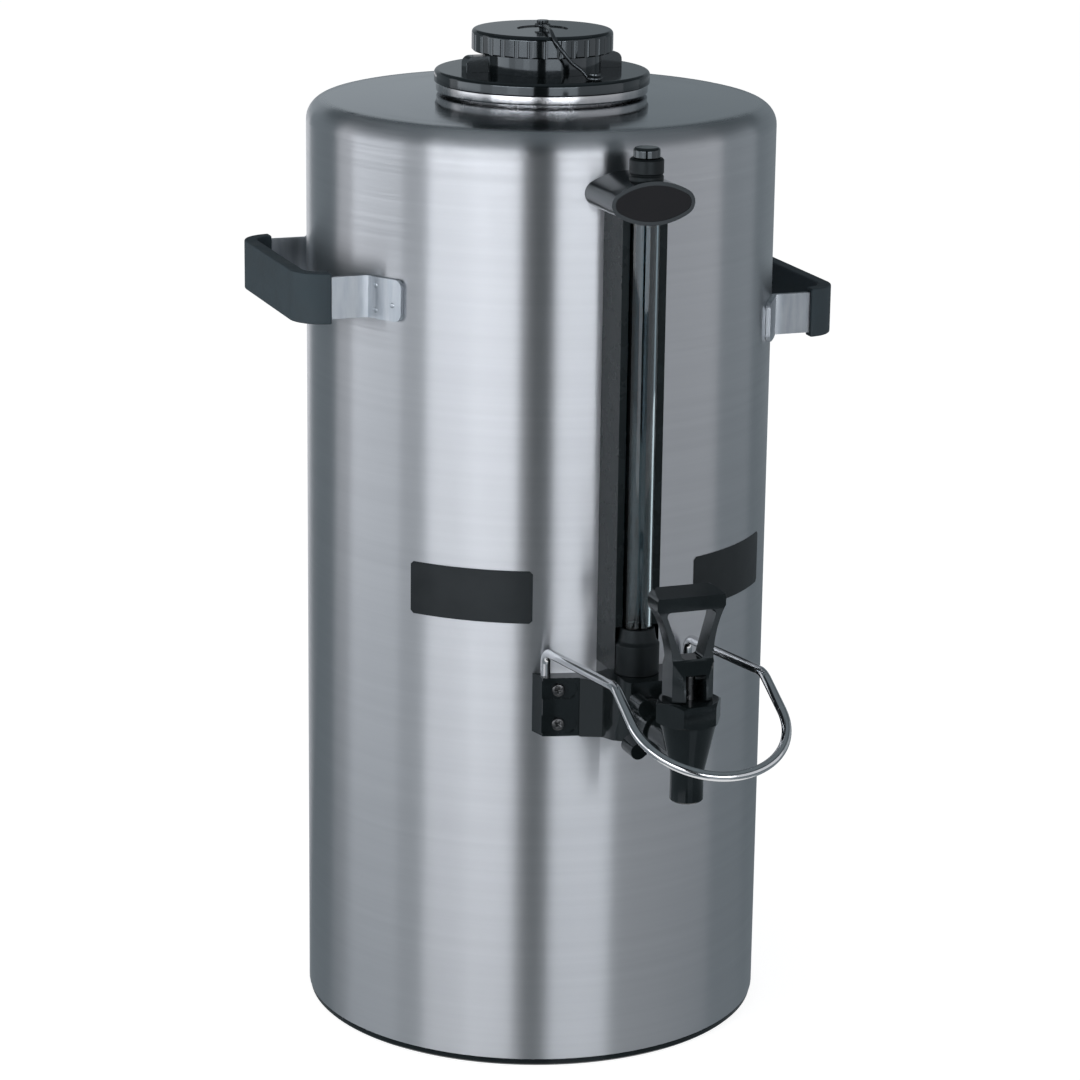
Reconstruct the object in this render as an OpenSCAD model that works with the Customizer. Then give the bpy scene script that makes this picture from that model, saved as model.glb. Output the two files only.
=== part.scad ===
// Insulated coffee server with a sight gauge, a lever faucet and a screw-capped lid.
// Millimetres, +Z up, the front with the faucet faces -Y, the origin is on the table under the body's axis.

/* [Body] */
// Outer diameter of the body shell
body_d = 240; // [225:1:265]
// Height of the shoulder's top above the table
body_h = 481; // [470:1:510]
// Sheet thickness of the shell
shell_t = 1; // [0.8:0.1:1.4]
// Rounding of the shoulder
shoulder_r = 11; // [8:0.5:16]
// Rise of the top from the shoulder to the neck, in degrees
crown_angle = 2.8; // [1:0.1:4]
// Height of the black base that shows under the shell
base_h = 4; // [3:0.5:8]
// Thickness of the base's floor
base_t = 3; // [2:0.5:3]
// Inset of the base from the shell's outside
base_inset = 0.8; // [0.4:0.1:2]
// Height of the base's rim inside the shell
base_rim_h = 12; // [6:1:20]
// Thickness of the base's rim
base_rim_t = 3; // [2:0.5:5]

/* [Tank] */
// Gap between the liner's wall and the shell's wall
jacket_w = 6; // [5:0.5:12]
// Sheet thickness of the liner and its neck
liner_t = 0.8; // [0.6:0.1:1.2]
// Height from the liner's floor up to the outlet's axis
outlet_rise = 17; // [16:0.5:24]
// Rounding of the liner's lower corner
floor_r = 7; // [3:0.5:8]
// Rounding of the liner's upper corner
liner_shoulder_r = 14; // [8:1:20]
// Gap between the liner's top and the shell's top at the shoulder
liner_gap = 7; // [5:0.5:12]
// Outer diameter of the neck tube
neck_d = 94; // [84:1:98]
// Height of the neck's rim above the shoulder's top
neck_rise = 8.5; // [8:0.5:12]
// Thickness of the steel collar round the neck
collar_t = 7; // [5:0.5:9]
// Drop of the jacket's lower plate below the liner's floor
jacket_drop = 14; // [8:1:30]
// Height of the jacket plate's turned-down edge
jacket_edge_h = 14; // [8:1:24]

/* [Lid] */
// Overhang of the lid's flange past the collar
flange_lap = 1; // [0:0.5:4]
// Thickness of the lid's flange
flange_t = 6; // [5:0.5:9]
// Rounding of the flange's upper edge
flange_r = 2; // [1:0.25:2.5]
// Depth of the lid's plug in the neck
plug_h = 12; // [10:0.5:16]
// Wall thickness of the lid's plug
plug_t = 5; // [4.5:0.5:8]
// Diameter of the threaded hub under the cap
hub_d = 60; // [54:1:62]
// Height of the hub above the flange
hub_h = 16; // [14:0.5:20]
// Wall of the hub round the lid's throat
hub_wall = 6; // [5:0.5:9]
// Length of the finger lugs beyond the hub
lug_l = 12; // [8:0.5:16]
// Thickness of the finger lugs
lug_t = 8; // [5:0.5:10]
// Height of the finger lugs above the flange
lug_h = 8; // [5:0.5:9]
// Rounding of the lugs' upper corner
lug_r = 4; // [2:0.5:5]
// Thickness of the lid's seal ring
lid_seal_d = 4; // [3:0.25:5]

/* [Screw cap] */
// Wall of the cap round the hub
cap_wall = 5.7; // [4:0.1:8]
// Height of the cap
cap_h = 11; // [10:0.5:12]
// Thickness of the cap's top
cap_top_t = 3; // [2.5:0.25:4]
// Rounding of the cap's upper edge
cap_r = 2.2; // [1:0.2:2.4]
// Number of flutes round the cap
flute_count = 30; // [16:1:36]
// Radius of each flute's cutter
flute_r = 2.4; // [1.5:0.1:3]
// Depth of the flutes
flute_depth = 0.7; // [0.3:0.1:1]
// Diameter of the shallow dish in the cap's top
dish_d = 26; // [20:1:34]
// Depth of the dish
dish_depth = 0.6; // [0.3:0.1:1]
// Diameter of the post that holds the strap
post_d = 3.6; // [3:0.1:4.5]
// Height of the post above the cap's top
post_h = 4.2; // [3.8:0.1:6]
// Diameter of the post's head
post_head_d = 6; // [5:0.25:7]
// Thickness of the post's head
post_head_t = 1.4; // [1:0.1:1.6]
// Thickness of the cap's seal
cap_seal_t = 1; // [0.6:0.1:1.5]

/* [Strap] */
// Diameter of the moulded strap between cap and lid
strap_d = 2; // [1.6:0.1:2.4]
// Thickness of the strap's flat eyes
eye_t = 1.6; // [1.2:0.1:1.8]
// Width of the strap's eyes round their holes
eye_wall = 1.9; // [1.5:0.1:2.5]
// Distance of the strap's pin from the flange's edge
anchor_inset = 7.5; // [6:0.5:9]

/* [Sight gauge] */
// Distance of the glass tube's axis from the shell
gauge_off = 24; // [21:0.5:30]
// Outer diameter of the glass tube
tube_d = 14.6; // [12:0.2:16]
// Wall of the glass tube
tube_t = 1.6; // [1.2:0.1:2]
// Width of the shield behind the tube
shield_w = 23; // [21:0.5:26]
// Wall of the shield behind the groove
shield_t = 2.5; // [2:0.25:4]
// Width of the oval top boss
boss_w = 42.6; // [40:0.2:52]
// Height of the oval top boss
boss_h = 21.2; // [20.4:0.2:26]
// Rounding of the oval's two ends
boss_end_r = 6.5; // [5:0.25:8]
// Drop of the boss's centre below the shoulder's top
boss_drop = 28.4; // [26:0.2:36]
// Reach of the boss's face beyond the tube's axis
boss_face = 10; // [10:0.5:16]
// Width of the raised rim round the face
rim_w = 1.9; // [1:0.1:2.5]
// Depth of the recess in the face
rim_depth = 1.2; // [0.8:0.1:1.6]
// Thickness of the oval insert
insert_t = 0.9; // [0.6:0.1:1.5]
// Diameter of the sleeve above the boss
sleeve_d = 16.6; // [16.2:0.2:19]
// Height of the sleeve above the boss
sleeve_h = 9.8; // [8.4:0.2:15]
// Depth of the sleeve's spigot in the boss
spigot_h = 6; // [4:0.5:8]
// Diameter of the vent cap on the sleeve
vent_d = 13; // [12:0.2:15]
// Height of the vent cap's head
vent_h = 4.8; // [4:0.2:9]
// Diameter of the vent cap's stem
vent_stem_d = 9; // [7:0.2:9.4]
// Length of the vent cap's stem
vent_stem_h = 8; // [6:0.5:10]
// Diameter of the collar at the tube's foot
foot_d = 22.4; // [20:0.2:24]
// Height of the collar's straight part
foot_h = 16; // [12:0.5:20]
// Height of the collar's tapered lip
foot_lip_h = 7; // [4:0.5:9]
// Thickness of the two tube seals
seal_t = 3; // [2:0.25:4]
// Bore that leads from the outlet up to the tube
riser_d = 8; // [6:0.5:9]

/* [Bracket] */
// Height of the faucet shank's axis above the table
shank_z = 198; // [188:1:215]
// Thickness of the bracket's wings
wing_t = 8.5; // [7.5:0.25:10]
// Half width of the wings at the shell
wing_half = 42.7; // [41:0.1:46]
// Drop of the wings' ends towards the front
wing_taper = 2; // [1:0.25:3]
// Height of the wings above the shank's axis
wing_up = 13.5; // [11:0.5:15]
// Depth of the wings below the shank's axis
wing_down = 16.8; // [14:0.2:18]
// Height of the block above the shank's axis
block_up = 20; // [17:0.5:24]
// Reach of the block's front beyond the shell
block_reach = 42.5; // [40:0.5:46]
// Half width of the block
block_half = 14.7; // [13:0.1:17]
// Half width of the block's front face
block_front_half = 10; // [9:0.25:12]
// Length of the block's tapered nose
nose_l = 11; // [8:0.5:13]
// Rise of the block's underside towards the front
block_under = 7; // [4:0.5:7.5]
// Distance of the screws from the middle
screw_x = 33.2; // [30:0.2:35]
// Half of the screws' spacing in height
screw_half = 8.9; // [7:0.1:9.5]
// Diameter of the screw heads
screw_head_d = 6.4; // [5:0.2:7]
// Thickness of the screw heads
screw_head_t = 2; // [1.5:0.1:2.4]
// Diameter of the screw shanks
screw_d = 3.6; // [3:0.1:4.5]
// Depth of the moulded pockets round the screws
pocket_depth = 1.2; // [0.8:0.1:2]
// Height of the moulded pockets
pocket_h = 9.4; // [8:0.2:10]

/* [Faucet] */
// Distance of the faucet's axis from the shell
faucet_off = 91; // [88:0.5:98]
// Diameter of the outlet tube
outlet_d = 17; // [15:0.5:18]
// Bore of the outlet tube, the shank and the inlet
flow_d = 10; // [8:0.5:10.5]
// Diameter of the shank
shank_d = 14; // [13.5:0.25:15]
// Diameter of the spout
spout_d = 16.2; // [15:0.2:18]
// Bore of the spout
spout_bore = 9.6; // [8:0.2:10]
// Length of the spout's straight part
spout_l = 14; // [10:0.5:18]
// Drop of the spout's end below the shank's axis
spout_drop = 24.5; // [23:0.5:30]
// Diameter of the faucet's cone at the top
cone_d = 27; // [26:0.2:29]
// Diameter of the valve chamber
chamber_d = 14.4; // [13.4:0.2:15]
// Height of the cone's top above the shank's axis
cone_up = 15; // [13:0.5:17]
// Size of the hexagon bonnet across its flats
bonnet_af = 28.8; // [28:0.2:32]
// Height of the bonnet
bonnet_h = 11.5; // [10:0.5:14]
// Depth of the bonnet's spigot in the chamber
bonnet_spigot = 3; // [2:0.5:4]
// Diameter of the valve stem
stem_d = 6; // [5:0.2:6.4]
// Diameter of the faucet's inlet boss
inlet_d = 20; // [18.5:0.5:21]
// Length of the faucet's inlet boss from the axis
inlet_l = 27; // [24:0.5:28]
// Diameter of the hand nut's hub
nut_d = 23; // [20:0.5:25]
// Thickness of the hand nut
nut_t = 17; // [14:0.5:18]
// Reach of the nut's four lobes from the axis
lobe_reach = 19.5; // [17:0.5:21]
// Diameter of the nut's lobes
lobe_d = 8; // [6:0.5:9]
// Turn of the lobes from the level
lobe_angle = 36; // [0:1:89]
// Thickness of the shank's gasket
gasket_t = 2.4; // [1.5:0.1:3]
// Wire diameter of the valve spring
spring_wire = 0.9; // [0.7:0.1:1]
// Turns of the valve spring
spring_turns = 4; // [3:1:5]

/* [Faucet lever] */
// Height of the lever's pin above the bonnet
pin_up = 10; // [9:0.25:11.5]
// Diameter of the lever's pin
pin_d = 3.2; // [2.8:0.1:3.6]
// Length of the lever's pin
pin_l = 18; // [15:0.5:19]
// Stem lift for each radian of lever travel
lift_rate = 5; // [4:0.25:5.5]
// Travel of the lever in degrees
lever_travel = 24; // [20:1:28]
// Width of the lever's foot
lever_w = 21; // [20:0.5:24]
// Width of the flat on the foot's front
lever_flat = 11.5; // [9:0.5:14]
// Width of the slot between the foot's two cheeks
slot_w = 10.5; // [8:0.5:11.5]
// Height of the foot's front edge above the bonnet
lever_edge = 13; // [12:0.5:15]
// Reach of the foot's front edge beyond the faucet's axis
lever_face = 8.5; // [7:0.25:10]
// Reach of the arms' front beyond the faucet's axis
arm_front = 4; // [3:0.25:5]
// Depth of the stirrup's two arms
arm_depth = 10; // [8:0.5:11]
// Height of the grip bar's underside above the bonnet
bar_up = 43.5; // [38:0.5:50]
// Width of the grip bar
bar_w = 35; // [33:0.5:44]
// Height of the grip bar
bar_h = 9.5; // [8:0.5:12]
// Depth of the grip bar
bar_depth = 12.5; // [9:0.5:14]
// Fall of the grip bar's top towards the front
bar_slope = 2.5; // [0:0.25:4]
// Set-back of the grip bar's middle behind the faucet's axis
bar_back = 5; // [3:0.5:7]
// Half width of the finger window at its top
window_top = 12.4; // [11:0.2:13]
// Half width of the finger window at its bottom
window_bottom = 5.8; // [5:0.2:7]
// Height of the finger window's lower edge above the bonnet
window_up = 20.5; // [19:0.5:25]

/* [Guard] */
// Diameter of the guard's wire
wire_d = 4.8; // [4:0.1:5]
// Half distance between the guard's legs
guard_half = 38; // [36:0.5:39.5]
// Height of the guard's rear corners above the wings
guard_up = 12.6; // [11:0.2:18]
// Length of each leg from corner to corner
guard_leg = 94; // [84:1:104]
// Upward slope of the legs in degrees
guard_slope = 6; // [0:0.5:10]
// Downward slope of the front loop in degrees
guard_dip = 28; // [15:1:35]
// Length of each leg in the front loop before it rounds
guard_tip = 25.5; // [18:0.5:32]
// Bend radius at the rear corners
bend_rear = 7; // [5:0.5:9]
// Bend radius at the front corners
bend_front = 14; // [8:0.5:20]
// Depth of the guard's ends in the wings
guard_depth = 12; // [6:0.5:20]

/* [Carrying handles] */
// Drop of the left handle's middle below the shoulder's top
handle_left_drop = 86; // [71:0.5:120]
// Drop of the right handle's middle below the shoulder's top
handle_right_drop = 108.5; // [71:0.5:140]
// Reach of the handles' grips beyond the shell
handle_reach = 26; // [24:0.5:40]
// Half length of the straps over their outside
handle_half = 54; // [46:0.5:60]
// Thickness of the steel strap
strap_t = 2.4; // [1.5:0.1:3]
// Height of the steel strap
strap_h = 21; // [16:0.5:26]
// Outer corner radius of the strap
handle_r = 15; // [10:0.5:16]
// Length of the strap's feet along the shell, in degrees
handle_foot = 10.5; // [7:0.5:12]
// Rounding of the feet's corners
handle_foot_r = 4; // [2:0.5:5]
// Thickness of the grip round the strap
grip_t = 2.2; // [1.5:0.1:3]
// Distance of the grip's ends from the shell's side
grip_start = 9; // [7:0.5:10]

/* [Hidden] */
$fn = 96;
// Clearance of pieces fixed to each other
fit = 0.05;
// Clearance between pieces that move past each other
gap = 0.3;
// Radial clearance of pins and guided stems
run = 0.05;
// Overlap of cutters past the face that they open
over = 1;
// Step by which rounds that would only just touch cross each other instead
hair = 0.03;

steel = "#b9bcbd";
black = "#191a1c";
gloss = "#101114";
rubber = "#2b2b2c";
chrome = "#d7dadd";

// Body and tank
body_r = body_d/2;
shell_in = body_r - shell_t;
wall_top = body_h - shoulder_r;
shoulder_x = body_r - shoulder_r;
neck_r = neck_d/2;
collar_r = neck_r + collar_t;
neck_top = body_h + neck_rise;
liner_r = shell_in - jacket_w;
floor_z = shank_z - outlet_rise;
liner_top_z = body_h - shell_t - liner_gap;
liner_wall_top = liner_top_z - liner_shoulder_r;
liner_corner_x = liner_r - liner_shoulder_r;
jacket_z = floor_z - liner_t - jacket_drop;

// Height of the shell's top at the distance x from the axis
function crown(x) = wall_top + shoulder_r*cos(crown_angle)
    + (shoulder_x + shoulder_r*sin(crown_angle) - x)*tan(crown_angle);
// Point within a sheet bend of the outer radius r, where the plate that it carries takes hold
tongue_turn = 5;
function tongue(r, t) = (r - t/2)*[sin(crown_angle + tongue_turn), cos(crown_angle + tongue_turn)];
// Height of the liner's top at the distance x from the axis
function liner_crown(x) = liner_wall_top + liner_shoulder_r*cos(crown_angle)
    + (liner_corner_x + liner_shoulder_r*sin(crown_angle) - x)*tan(crown_angle);

// Lid
flange_rad = collar_r + flange_lap;
flange_z = neck_top + gap;
flange_top = flange_z + flange_t;
flange_middle = flange_z + flange_t/2;
plug_r = neck_r - liner_t - 2*gap;
plug_z = flange_z - plug_h;
hub_r = hub_d/2;
hub_top = flange_top + hub_h;
throat_r = hub_r - hub_wall;
lug_reach = hub_r + lug_l;
cap_seal_z = hub_top + gap;
cap_ceiling = cap_seal_z + cap_seal_t + gap;
cap_top = cap_ceiling + cap_top_t;
cap_z = cap_top - cap_h;
cap_rad = hub_r + gap + cap_wall;
post_base = cap_top - dish_depth;
post_top = cap_top + post_h;

// Strap between the cap's post and the pin on the flange
anchor_angle = -77;
anchor_reach = flange_rad - anchor_inset;
anchor_x = anchor_reach*cos(anchor_angle);
anchor_y = anchor_reach*sin(anchor_angle);
eye_top_z = post_top - post_head_t - gap - eye_t;
anchor_top = flange_top + gap + eye_t + gap;
eye_low_z = flange_top + gap;
eye_bore = post_d/2 + gap;
eye_r = eye_bore + eye_wall;

// Sight gauge
gauge_y = -(body_r + gauge_off);
tube_r = tube_d/2;
boss_z = body_h - boss_drop;
boss_top = boss_z + boss_h/2;
face_y = gauge_y - boss_face;
block_top = shank_z + block_up;
tube_low = block_top + fit + seal_t + fit;
// Inward lip of the seals past the tube's bore
seal_lip = 1;
// Depth of the sleeve's seat in the boss
sleeve_seat = 1;
spigot_z = boss_top - spigot_h;
tube_high = spigot_z - seal_t - 2*fit;
sleeve_z = boss_top + fit;
sleeve_top = sleeve_z + sleeve_h;
vent_bore_r = vent_stem_d/2 + gap;
shield_z = block_top + fit;

// Bracket
block_y = -(body_r + block_reach);
wing_z = shank_z - wing_down;
wing_top = shank_z + wing_up;
wing_r = body_r + wing_t;
flow_r = flow_d/2;
outlet_r = outlet_d/2;
shank_r = shank_d/2;
// Wall between the gauge's riser and the ends of the outlet tube and the shank
riser_wall = 3;
outlet_end = gauge_y + flow_r + riser_wall;
shank_start = gauge_y - flow_r - riser_wall;

// Faucet
faucet_y = -(body_r + faucet_off);
spout_z = shank_z - spout_drop;
cone_z = spout_z + spout_l;
cone_top = shank_z + cone_up;
bonnet_top = cone_top + bonnet_h;
chamber_r = chamber_d/2;
// Depth of the valve's seat below the flow bore
seat_step = 1;
seat_z = shank_z - flow_r - seat_step;
seat_r = spout_bore/2;
stem_r = stem_d/2;
inlet_y = faucet_y + inlet_l;
socket_y = faucet_y + inlet_l/2;
nut_y = block_y - gasket_t - gap;
cup_h = 7;
cup_z = seat_z + gap;
// Room for the flow round the seat cup
cup_room = 0.9;
cup_r = chamber_r - cup_room;
spring_low = cup_z + cup_h + fit;
spring_high = cone_top - bonnet_spigot - fit;
// Room between the spring and the stem
spring_room = 0.7;
spring_r = stem_r + spring_room + spring_wire/2;

// Lever
pin_z = bonnet_top + pin_up;
toe_h = pin_up - gap;
stem_top = pin_z + stem_r;
// Height below the finger window at which the stirrup starts to flare
flare_drop = 2;
flare_up = window_up - flare_drop;

// Guard
foot_y = -sqrt(pow((body_r + wing_r)/2, 2) - pow(guard_half, 2));
bend_rear_cut = bend_rear*tan((90 - guard_slope)/2);
bend_front_cut = bend_front*tan((guard_slope + guard_dip)/2);
// Overlap of the straight wire over its bends, which are thinner by a hair
wire_lap = 0.3;

// Handles
handle_left_z = body_h - handle_left_drop;
handle_right_z = body_h - handle_right_drop;
bar_x = body_r + handle_reach - grip_t;
grip_h = strap_h + 2*grip_t;

// A tube or a rod along -Y from the depth y0 to the depth y1
module along_y(y0, y1, r) {
    translate([0, y0, 0])
        rotate([90, 0, 0])
            cylinder(h = y0 - y1, r = r);
}

// An outline in X and Z, swept along Y between two depths
module front_sweep(y0, y1) {
    translate([0, y0, 0])
        rotate([90, 0, 0])
            linear_extrude(height = y0 - y1)
                children();
}

// An outline in the forward and upward directions, swept along X over a width
module side_sweep(w) {
    rotate([90, 0, -90])
        linear_extrude(height = w, center = true)
            children();
}

// A quarter sheet bend of the outer radius r, from level to the angle end
module sheet_bend(r, t, end) {
    intersection() {
        difference() {
            circle(r);
            circle(r - t);
        }
        polygon([[0, 0], [2*r, 0], [2*r, 2*r], [2*r*cos(end), 2*r*sin(end)]]);
    }
}

// An oval of four arcs
module oval(w, h, end_r) {
    a = w/2;
    b = h/2;
    c = a - end_r;
    side_r = (c*c + b*b - end_r*end_r)/(2*(b - end_r));
    reach = c*side_r/(side_r - end_r);
    intersection() {
        translate([0, b - side_r])
            circle(side_r);
        translate([0, side_r - b])
            circle(side_r);
        square([2*reach, h], center = true);
    }
    for (s = [-1, 1])
        translate([s*c, 0])
            circle(end_r - hair);
}

module base_pan() {
    base_r = body_r - base_inset;
    rim_r = shell_in - fit;
    edge = 1;
    color(black)
        rotate_extrude()
            polygon([
                [0, 0], [base_r - edge, 0], [base_r, edge], [base_r, base_h - fit], [rim_r, base_h - fit],
                [rim_r, base_h + base_rim_h], [rim_r - base_rim_t, base_h + base_rim_h],
                [rim_r - base_rim_t, base_t], [0, base_t]
            ]);
}

// Hole for the outlet tube through a wall
module outlet_hole() {
    translate([0, 0, shank_z])
        along_y(0, -body_r - over, outlet_r + fit);
}

module shell_wall() {
    color(steel)
        difference() {
            translate([0, 0, base_h])
                cylinder(h = wall_top - base_h, r = body_r);
            translate([0, 0, base_h - over])
                cylinder(h = wall_top - base_h + 2*over, r = shell_in);
            outlet_hole();
        }
}

module shell_top() {
    bend_x = shoulder_x + shoulder_r*sin(crown_angle);
    inner_x = shoulder_x + (shoulder_r - shell_t)*sin(crown_angle);
    hole_r = neck_r + fit;
    drop = shell_t/cos(crown_angle);
    color(steel)
        rotate_extrude() {
            translate([shoulder_x, wall_top])
                sheet_bend(shoulder_r, shell_t, 90 - crown_angle);
            polygon([
                [bend_x, crown(bend_x)], [hole_r, crown(hole_r)],
                [hole_r, crown(hole_r) - drop], [inner_x, crown(inner_x) - drop],
                [shoulder_x, wall_top] + tongue(shoulder_r, shell_t)
            ]);
        }
}

module neck_collar() {
    bore = neck_r + fit;
    waist = 1;
    waist_h = 1.4;
    edge = 0.6;
    color(chrome)
        rotate_extrude()
            polygon([
                [bore, crown(bore) + fit], [collar_r - waist, crown(collar_r - waist) + fit],
                [collar_r - waist, crown(bore) + waist_h], [collar_r, crown(bore) + waist_h + waist],
                [collar_r, neck_top - edge], [collar_r - edge, neck_top], [bore, neck_top]
            ]);
}

module liner_wall() {
    low = floor_z + floor_r - liner_t + fit;
    color(steel)
        difference() {
            translate([0, 0, low])
                cylinder(h = liner_wall_top - fit - low, r = liner_r);
            translate([0, 0, low - over])
                cylinder(h = liner_wall_top - low + 2*over, r = liner_r - liner_t);
            outlet_hole();
        }
}

module liner_floor() {
    corner_z = floor_z + floor_r - liner_t;
    color(steel)
        rotate_extrude() {
            translate([liner_r - floor_r, corner_z])
                mirror([0, 1])
                    sheet_bend(floor_r, liner_t, 90);
            translate([0, floor_z - liner_t])
                square([liner_r - floor_r, liner_t]);
        }
}

module liner_top() {
    bend_x = liner_corner_x + liner_shoulder_r*sin(crown_angle);
    inner_x = liner_corner_x + (liner_shoulder_r - liner_t)*sin(crown_angle);
    drop = liner_t/cos(crown_angle);
    bore = neck_r - liner_t;
    color(steel)
        rotate_extrude() {
            translate([liner_corner_x, liner_wall_top])
                sheet_bend(liner_shoulder_r, liner_t, 90 - crown_angle);
            polygon([
                [bend_x, liner_crown(bend_x)], [neck_r, liner_crown(neck_r)], [neck_r, neck_top],
                [bore, neck_top], [bore, liner_crown(bore) - drop], [inner_x, liner_crown(inner_x) - drop],
                [liner_corner_x, liner_wall_top] + tongue(liner_shoulder_r, liner_t)
            ]);
        }
}

module jacket_bottom() {
    edge_r = shell_in - fit;
    color(steel)
        rotate_extrude()
            polygon([
                [0, jacket_z], [edge_r, jacket_z], [edge_r, jacket_z - jacket_edge_h],
                [edge_r - shell_t, jacket_z - jacket_edge_h], [edge_r - shell_t, jacket_z - shell_t],
                [0, jacket_z - shell_t]
            ]);
}

module outlet_tube() {
    lip = 1;
    start = -(liner_r - liner_t - lip);
    color(steel)
        translate([0, 0, shank_z])
            difference() {
                along_y(start, outlet_end, outlet_r);
                along_y(start + over, outlet_end - over, flow_r);
            }
}

module lid_gasket() {
    seat = plug_r + gap - lid_seal_d/2;
    color(rubber)
        translate([0, 0, plug_z + plug_h/2])
            rotate_extrude()
                translate([seat, 0])
                    circle(lid_seal_d/2);
}

module lid_ring() {
    groove_r = lid_seal_d/2 + gap;
    groove_x = plug_r + gap - lid_seal_d/2;
    plug_in = plug_r - plug_t;
    color(gloss) {
        difference() {
            rotate_extrude()
                difference() {
                    union() {
                        translate([throat_r, flange_z])
                            square([flange_rad - throat_r, flange_t - flange_r]);
                        translate([throat_r, flange_z])
                            square([flange_rad - flange_r - throat_r, flange_t]);
                        translate([flange_rad - flange_r, flange_top - flange_r])
                            circle(flange_r);
                        translate([throat_r, flange_z])
                            square([hub_r - throat_r, hub_top - flange_z]);
                        translate([plug_in, plug_z])
                            square([plug_t, flange_middle - plug_z]);
                    }
                    translate([groove_x, plug_z + plug_h/2])
                        circle(groove_r);
                    translate([groove_x, plug_z + plug_h/2 - groove_r])
                        square([lid_seal_d, 2*groove_r]);
                }
            translate([anchor_x, anchor_y, flange_middle])
                cylinder(h = flange_t, r = post_d/2 + fit);
        }
        for (s = [0, 180])
            rotate([0, 0, s])
                front_sweep(lug_t/2, -lug_t/2)
                    lug();
    }
}

// Side view of one finger lug, from inside the hub's wall outwards
module lug() {
    start = (hub_r + throat_r)/2;
    low = flange_top - flange_r;
    translate([start, low])
        square([lug_reach - start, lug_h + flange_r - lug_r]);
    translate([start, low])
        square([lug_reach - lug_r - start, lug_h + flange_r]);
    translate([lug_reach - lug_r, flange_top + lug_h - lug_r])
        circle(lug_r);
}

module cap_gasket() {
    color(rubber)
        translate([0, 0, cap_seal_z])
            difference() {
                cylinder(h = cap_seal_t, r = hub_r - gap);
                translate([0, 0, -over])
                    cylinder(h = cap_seal_t + 2*over, r = throat_r + gap);
            }
}

module screw_cap() {
    bore = hub_r + gap;
    edge = 0.8;
    color(gloss)
        difference() {
            union() {
                rotate_extrude() {
                    translate([0, cap_ceiling])
                        square([cap_rad - cap_r, cap_top_t]);
                    polygon([
                        [bore, cap_z], [cap_rad - edge, cap_z], [cap_rad, cap_z + edge],
                        [cap_rad, cap_top - cap_r], [cap_rad - cap_r, cap_top], [bore, cap_top]
                    ]);
                    translate([cap_rad - cap_r, cap_top - cap_r])
                        circle(cap_r);
                }
                translate([0, 0, cap_ceiling])
                    cylinder(h = post_top - cap_ceiling, r = post_d/2);
                translate([0, 0, post_top - post_head_t])
                    cylinder(h = post_head_t, r = post_head_d/2);
            }
            translate([0, 0, post_base])
                difference() {
                    cylinder(h = dish_depth + fit, r = dish_d/2);
                    cylinder(h = dish_depth + fit, r = post_d/2);
                }
            for (i = [0:flute_count - 1])
                rotate([0, 0, i*360/flute_count])
                    translate([cap_rad + flute_r - flute_depth, 0, cap_z - over])
                        cylinder(h = cap_h - cap_r + over, r = flute_r);
        }
}

// Middle line of the strap, from the upper eye over the cap's edge to the lower eye
strap_route = [
    [-0.7, -3.4, eye_top_z + eye_t/2],
    [-4, -18, cap_top + 2.6],
    [-7, -31, cap_top + 2.4],
    [-8, -39, cap_top - 0.5],
    [-5, -42, cap_top - 6],
    [0, -42.5, cap_top - 12],
    [5, -43, eye_low_z + 4.5],
    [anchor_x - 2.6, anchor_y + 2.4, eye_low_z + eye_t/2]
];
strap_steps = 4;
strap_sides = 8;

// A point on the smooth curve through the route, at the leg i and the share t
function curve_point(p, i, t) =
    let (n = len(p) - 1,
         a = p[max(i - 1, 0)],
         b = p[i],
         c = p[min(i + 1, n)],
         d = p[min(i + 2, n)])
    0.5*(2*b + (c - a)*t + (2*a - 5*b + 4*c - d)*t*t + (3*b - a - 3*c + d)*t*t*t);
// Points along the curve through a route
function curve(p, steps) = [
    for (i = [0:len(p) - 2])
        for (k = [0:steps - 1])
            curve_point(p, i, k/steps),
    p[len(p) - 1]
];
function unit(v) = v/norm(v);
function tangent(p, i) = unit(p[min(i + 1, len(p) - 1)] - p[max(i - 1, 0)]);

// A round tube along a list of points, kept square to the side direction
module tube_along(p, r, sides, side) {
    rings = len(p);
    points = [
        for (i = [0:rings - 1])
            let (t = tangent(p, i), v = unit(cross(t, side)), u = cross(v, t))
            for (k = [0:sides - 1])
                p[i] + r*cos(360*k/sides)*u + r*sin(360*k/sides)*v
    ];
    walls = [
        for (i = [0:rings - 2])
            for (k = [0:sides - 1])
                let (a = i*sides + k, b = i*sides + (k + 1)%sides)
                each [[a, a + sides, b], [b, a + sides, b + sides]]
    ];
    low_end = [for (k = [0:sides - 1]) k];
    high_end = [for (k = [0:sides - 1]) rings*sides - 1 - k];
    polyhedron(points, concat(walls, [low_end, high_end]));
}

module tether() {
    color(black) {
        tube_along(curve(strap_route, strap_steps), strap_d/2, strap_sides, [1, 0, 0]);
        for (place = [[0, 0, eye_top_z], [anchor_x, anchor_y, eye_low_z]])
            translate(place)
                difference() {
                    cylinder(h = eye_t, r = eye_r);
                    translate([0, 0, -over])
                        cylinder(h = eye_t + 2*over, r = eye_bore);
                }
    }
}

module tether_anchor() {
    color(gloss)
        translate([anchor_x, anchor_y, 0]) {
            translate([0, 0, flange_middle + fit])
                cylinder(h = anchor_top - flange_middle, r = post_d/2);
            translate([0, 0, anchor_top])
                cylinder(h = post_head_t, r = post_head_d/2);
        }
}

// Front view of the boss, grown by a margin
module boss_outline(grow) {
    translate([0, boss_z])
        oval(boss_w + 2*grow, boss_h + 2*grow, boss_end_r + grow);
}

// Space inside the shell's outer face
module body_space() {
    cylinder(h = body_h, r = body_r + fit);
}

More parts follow.
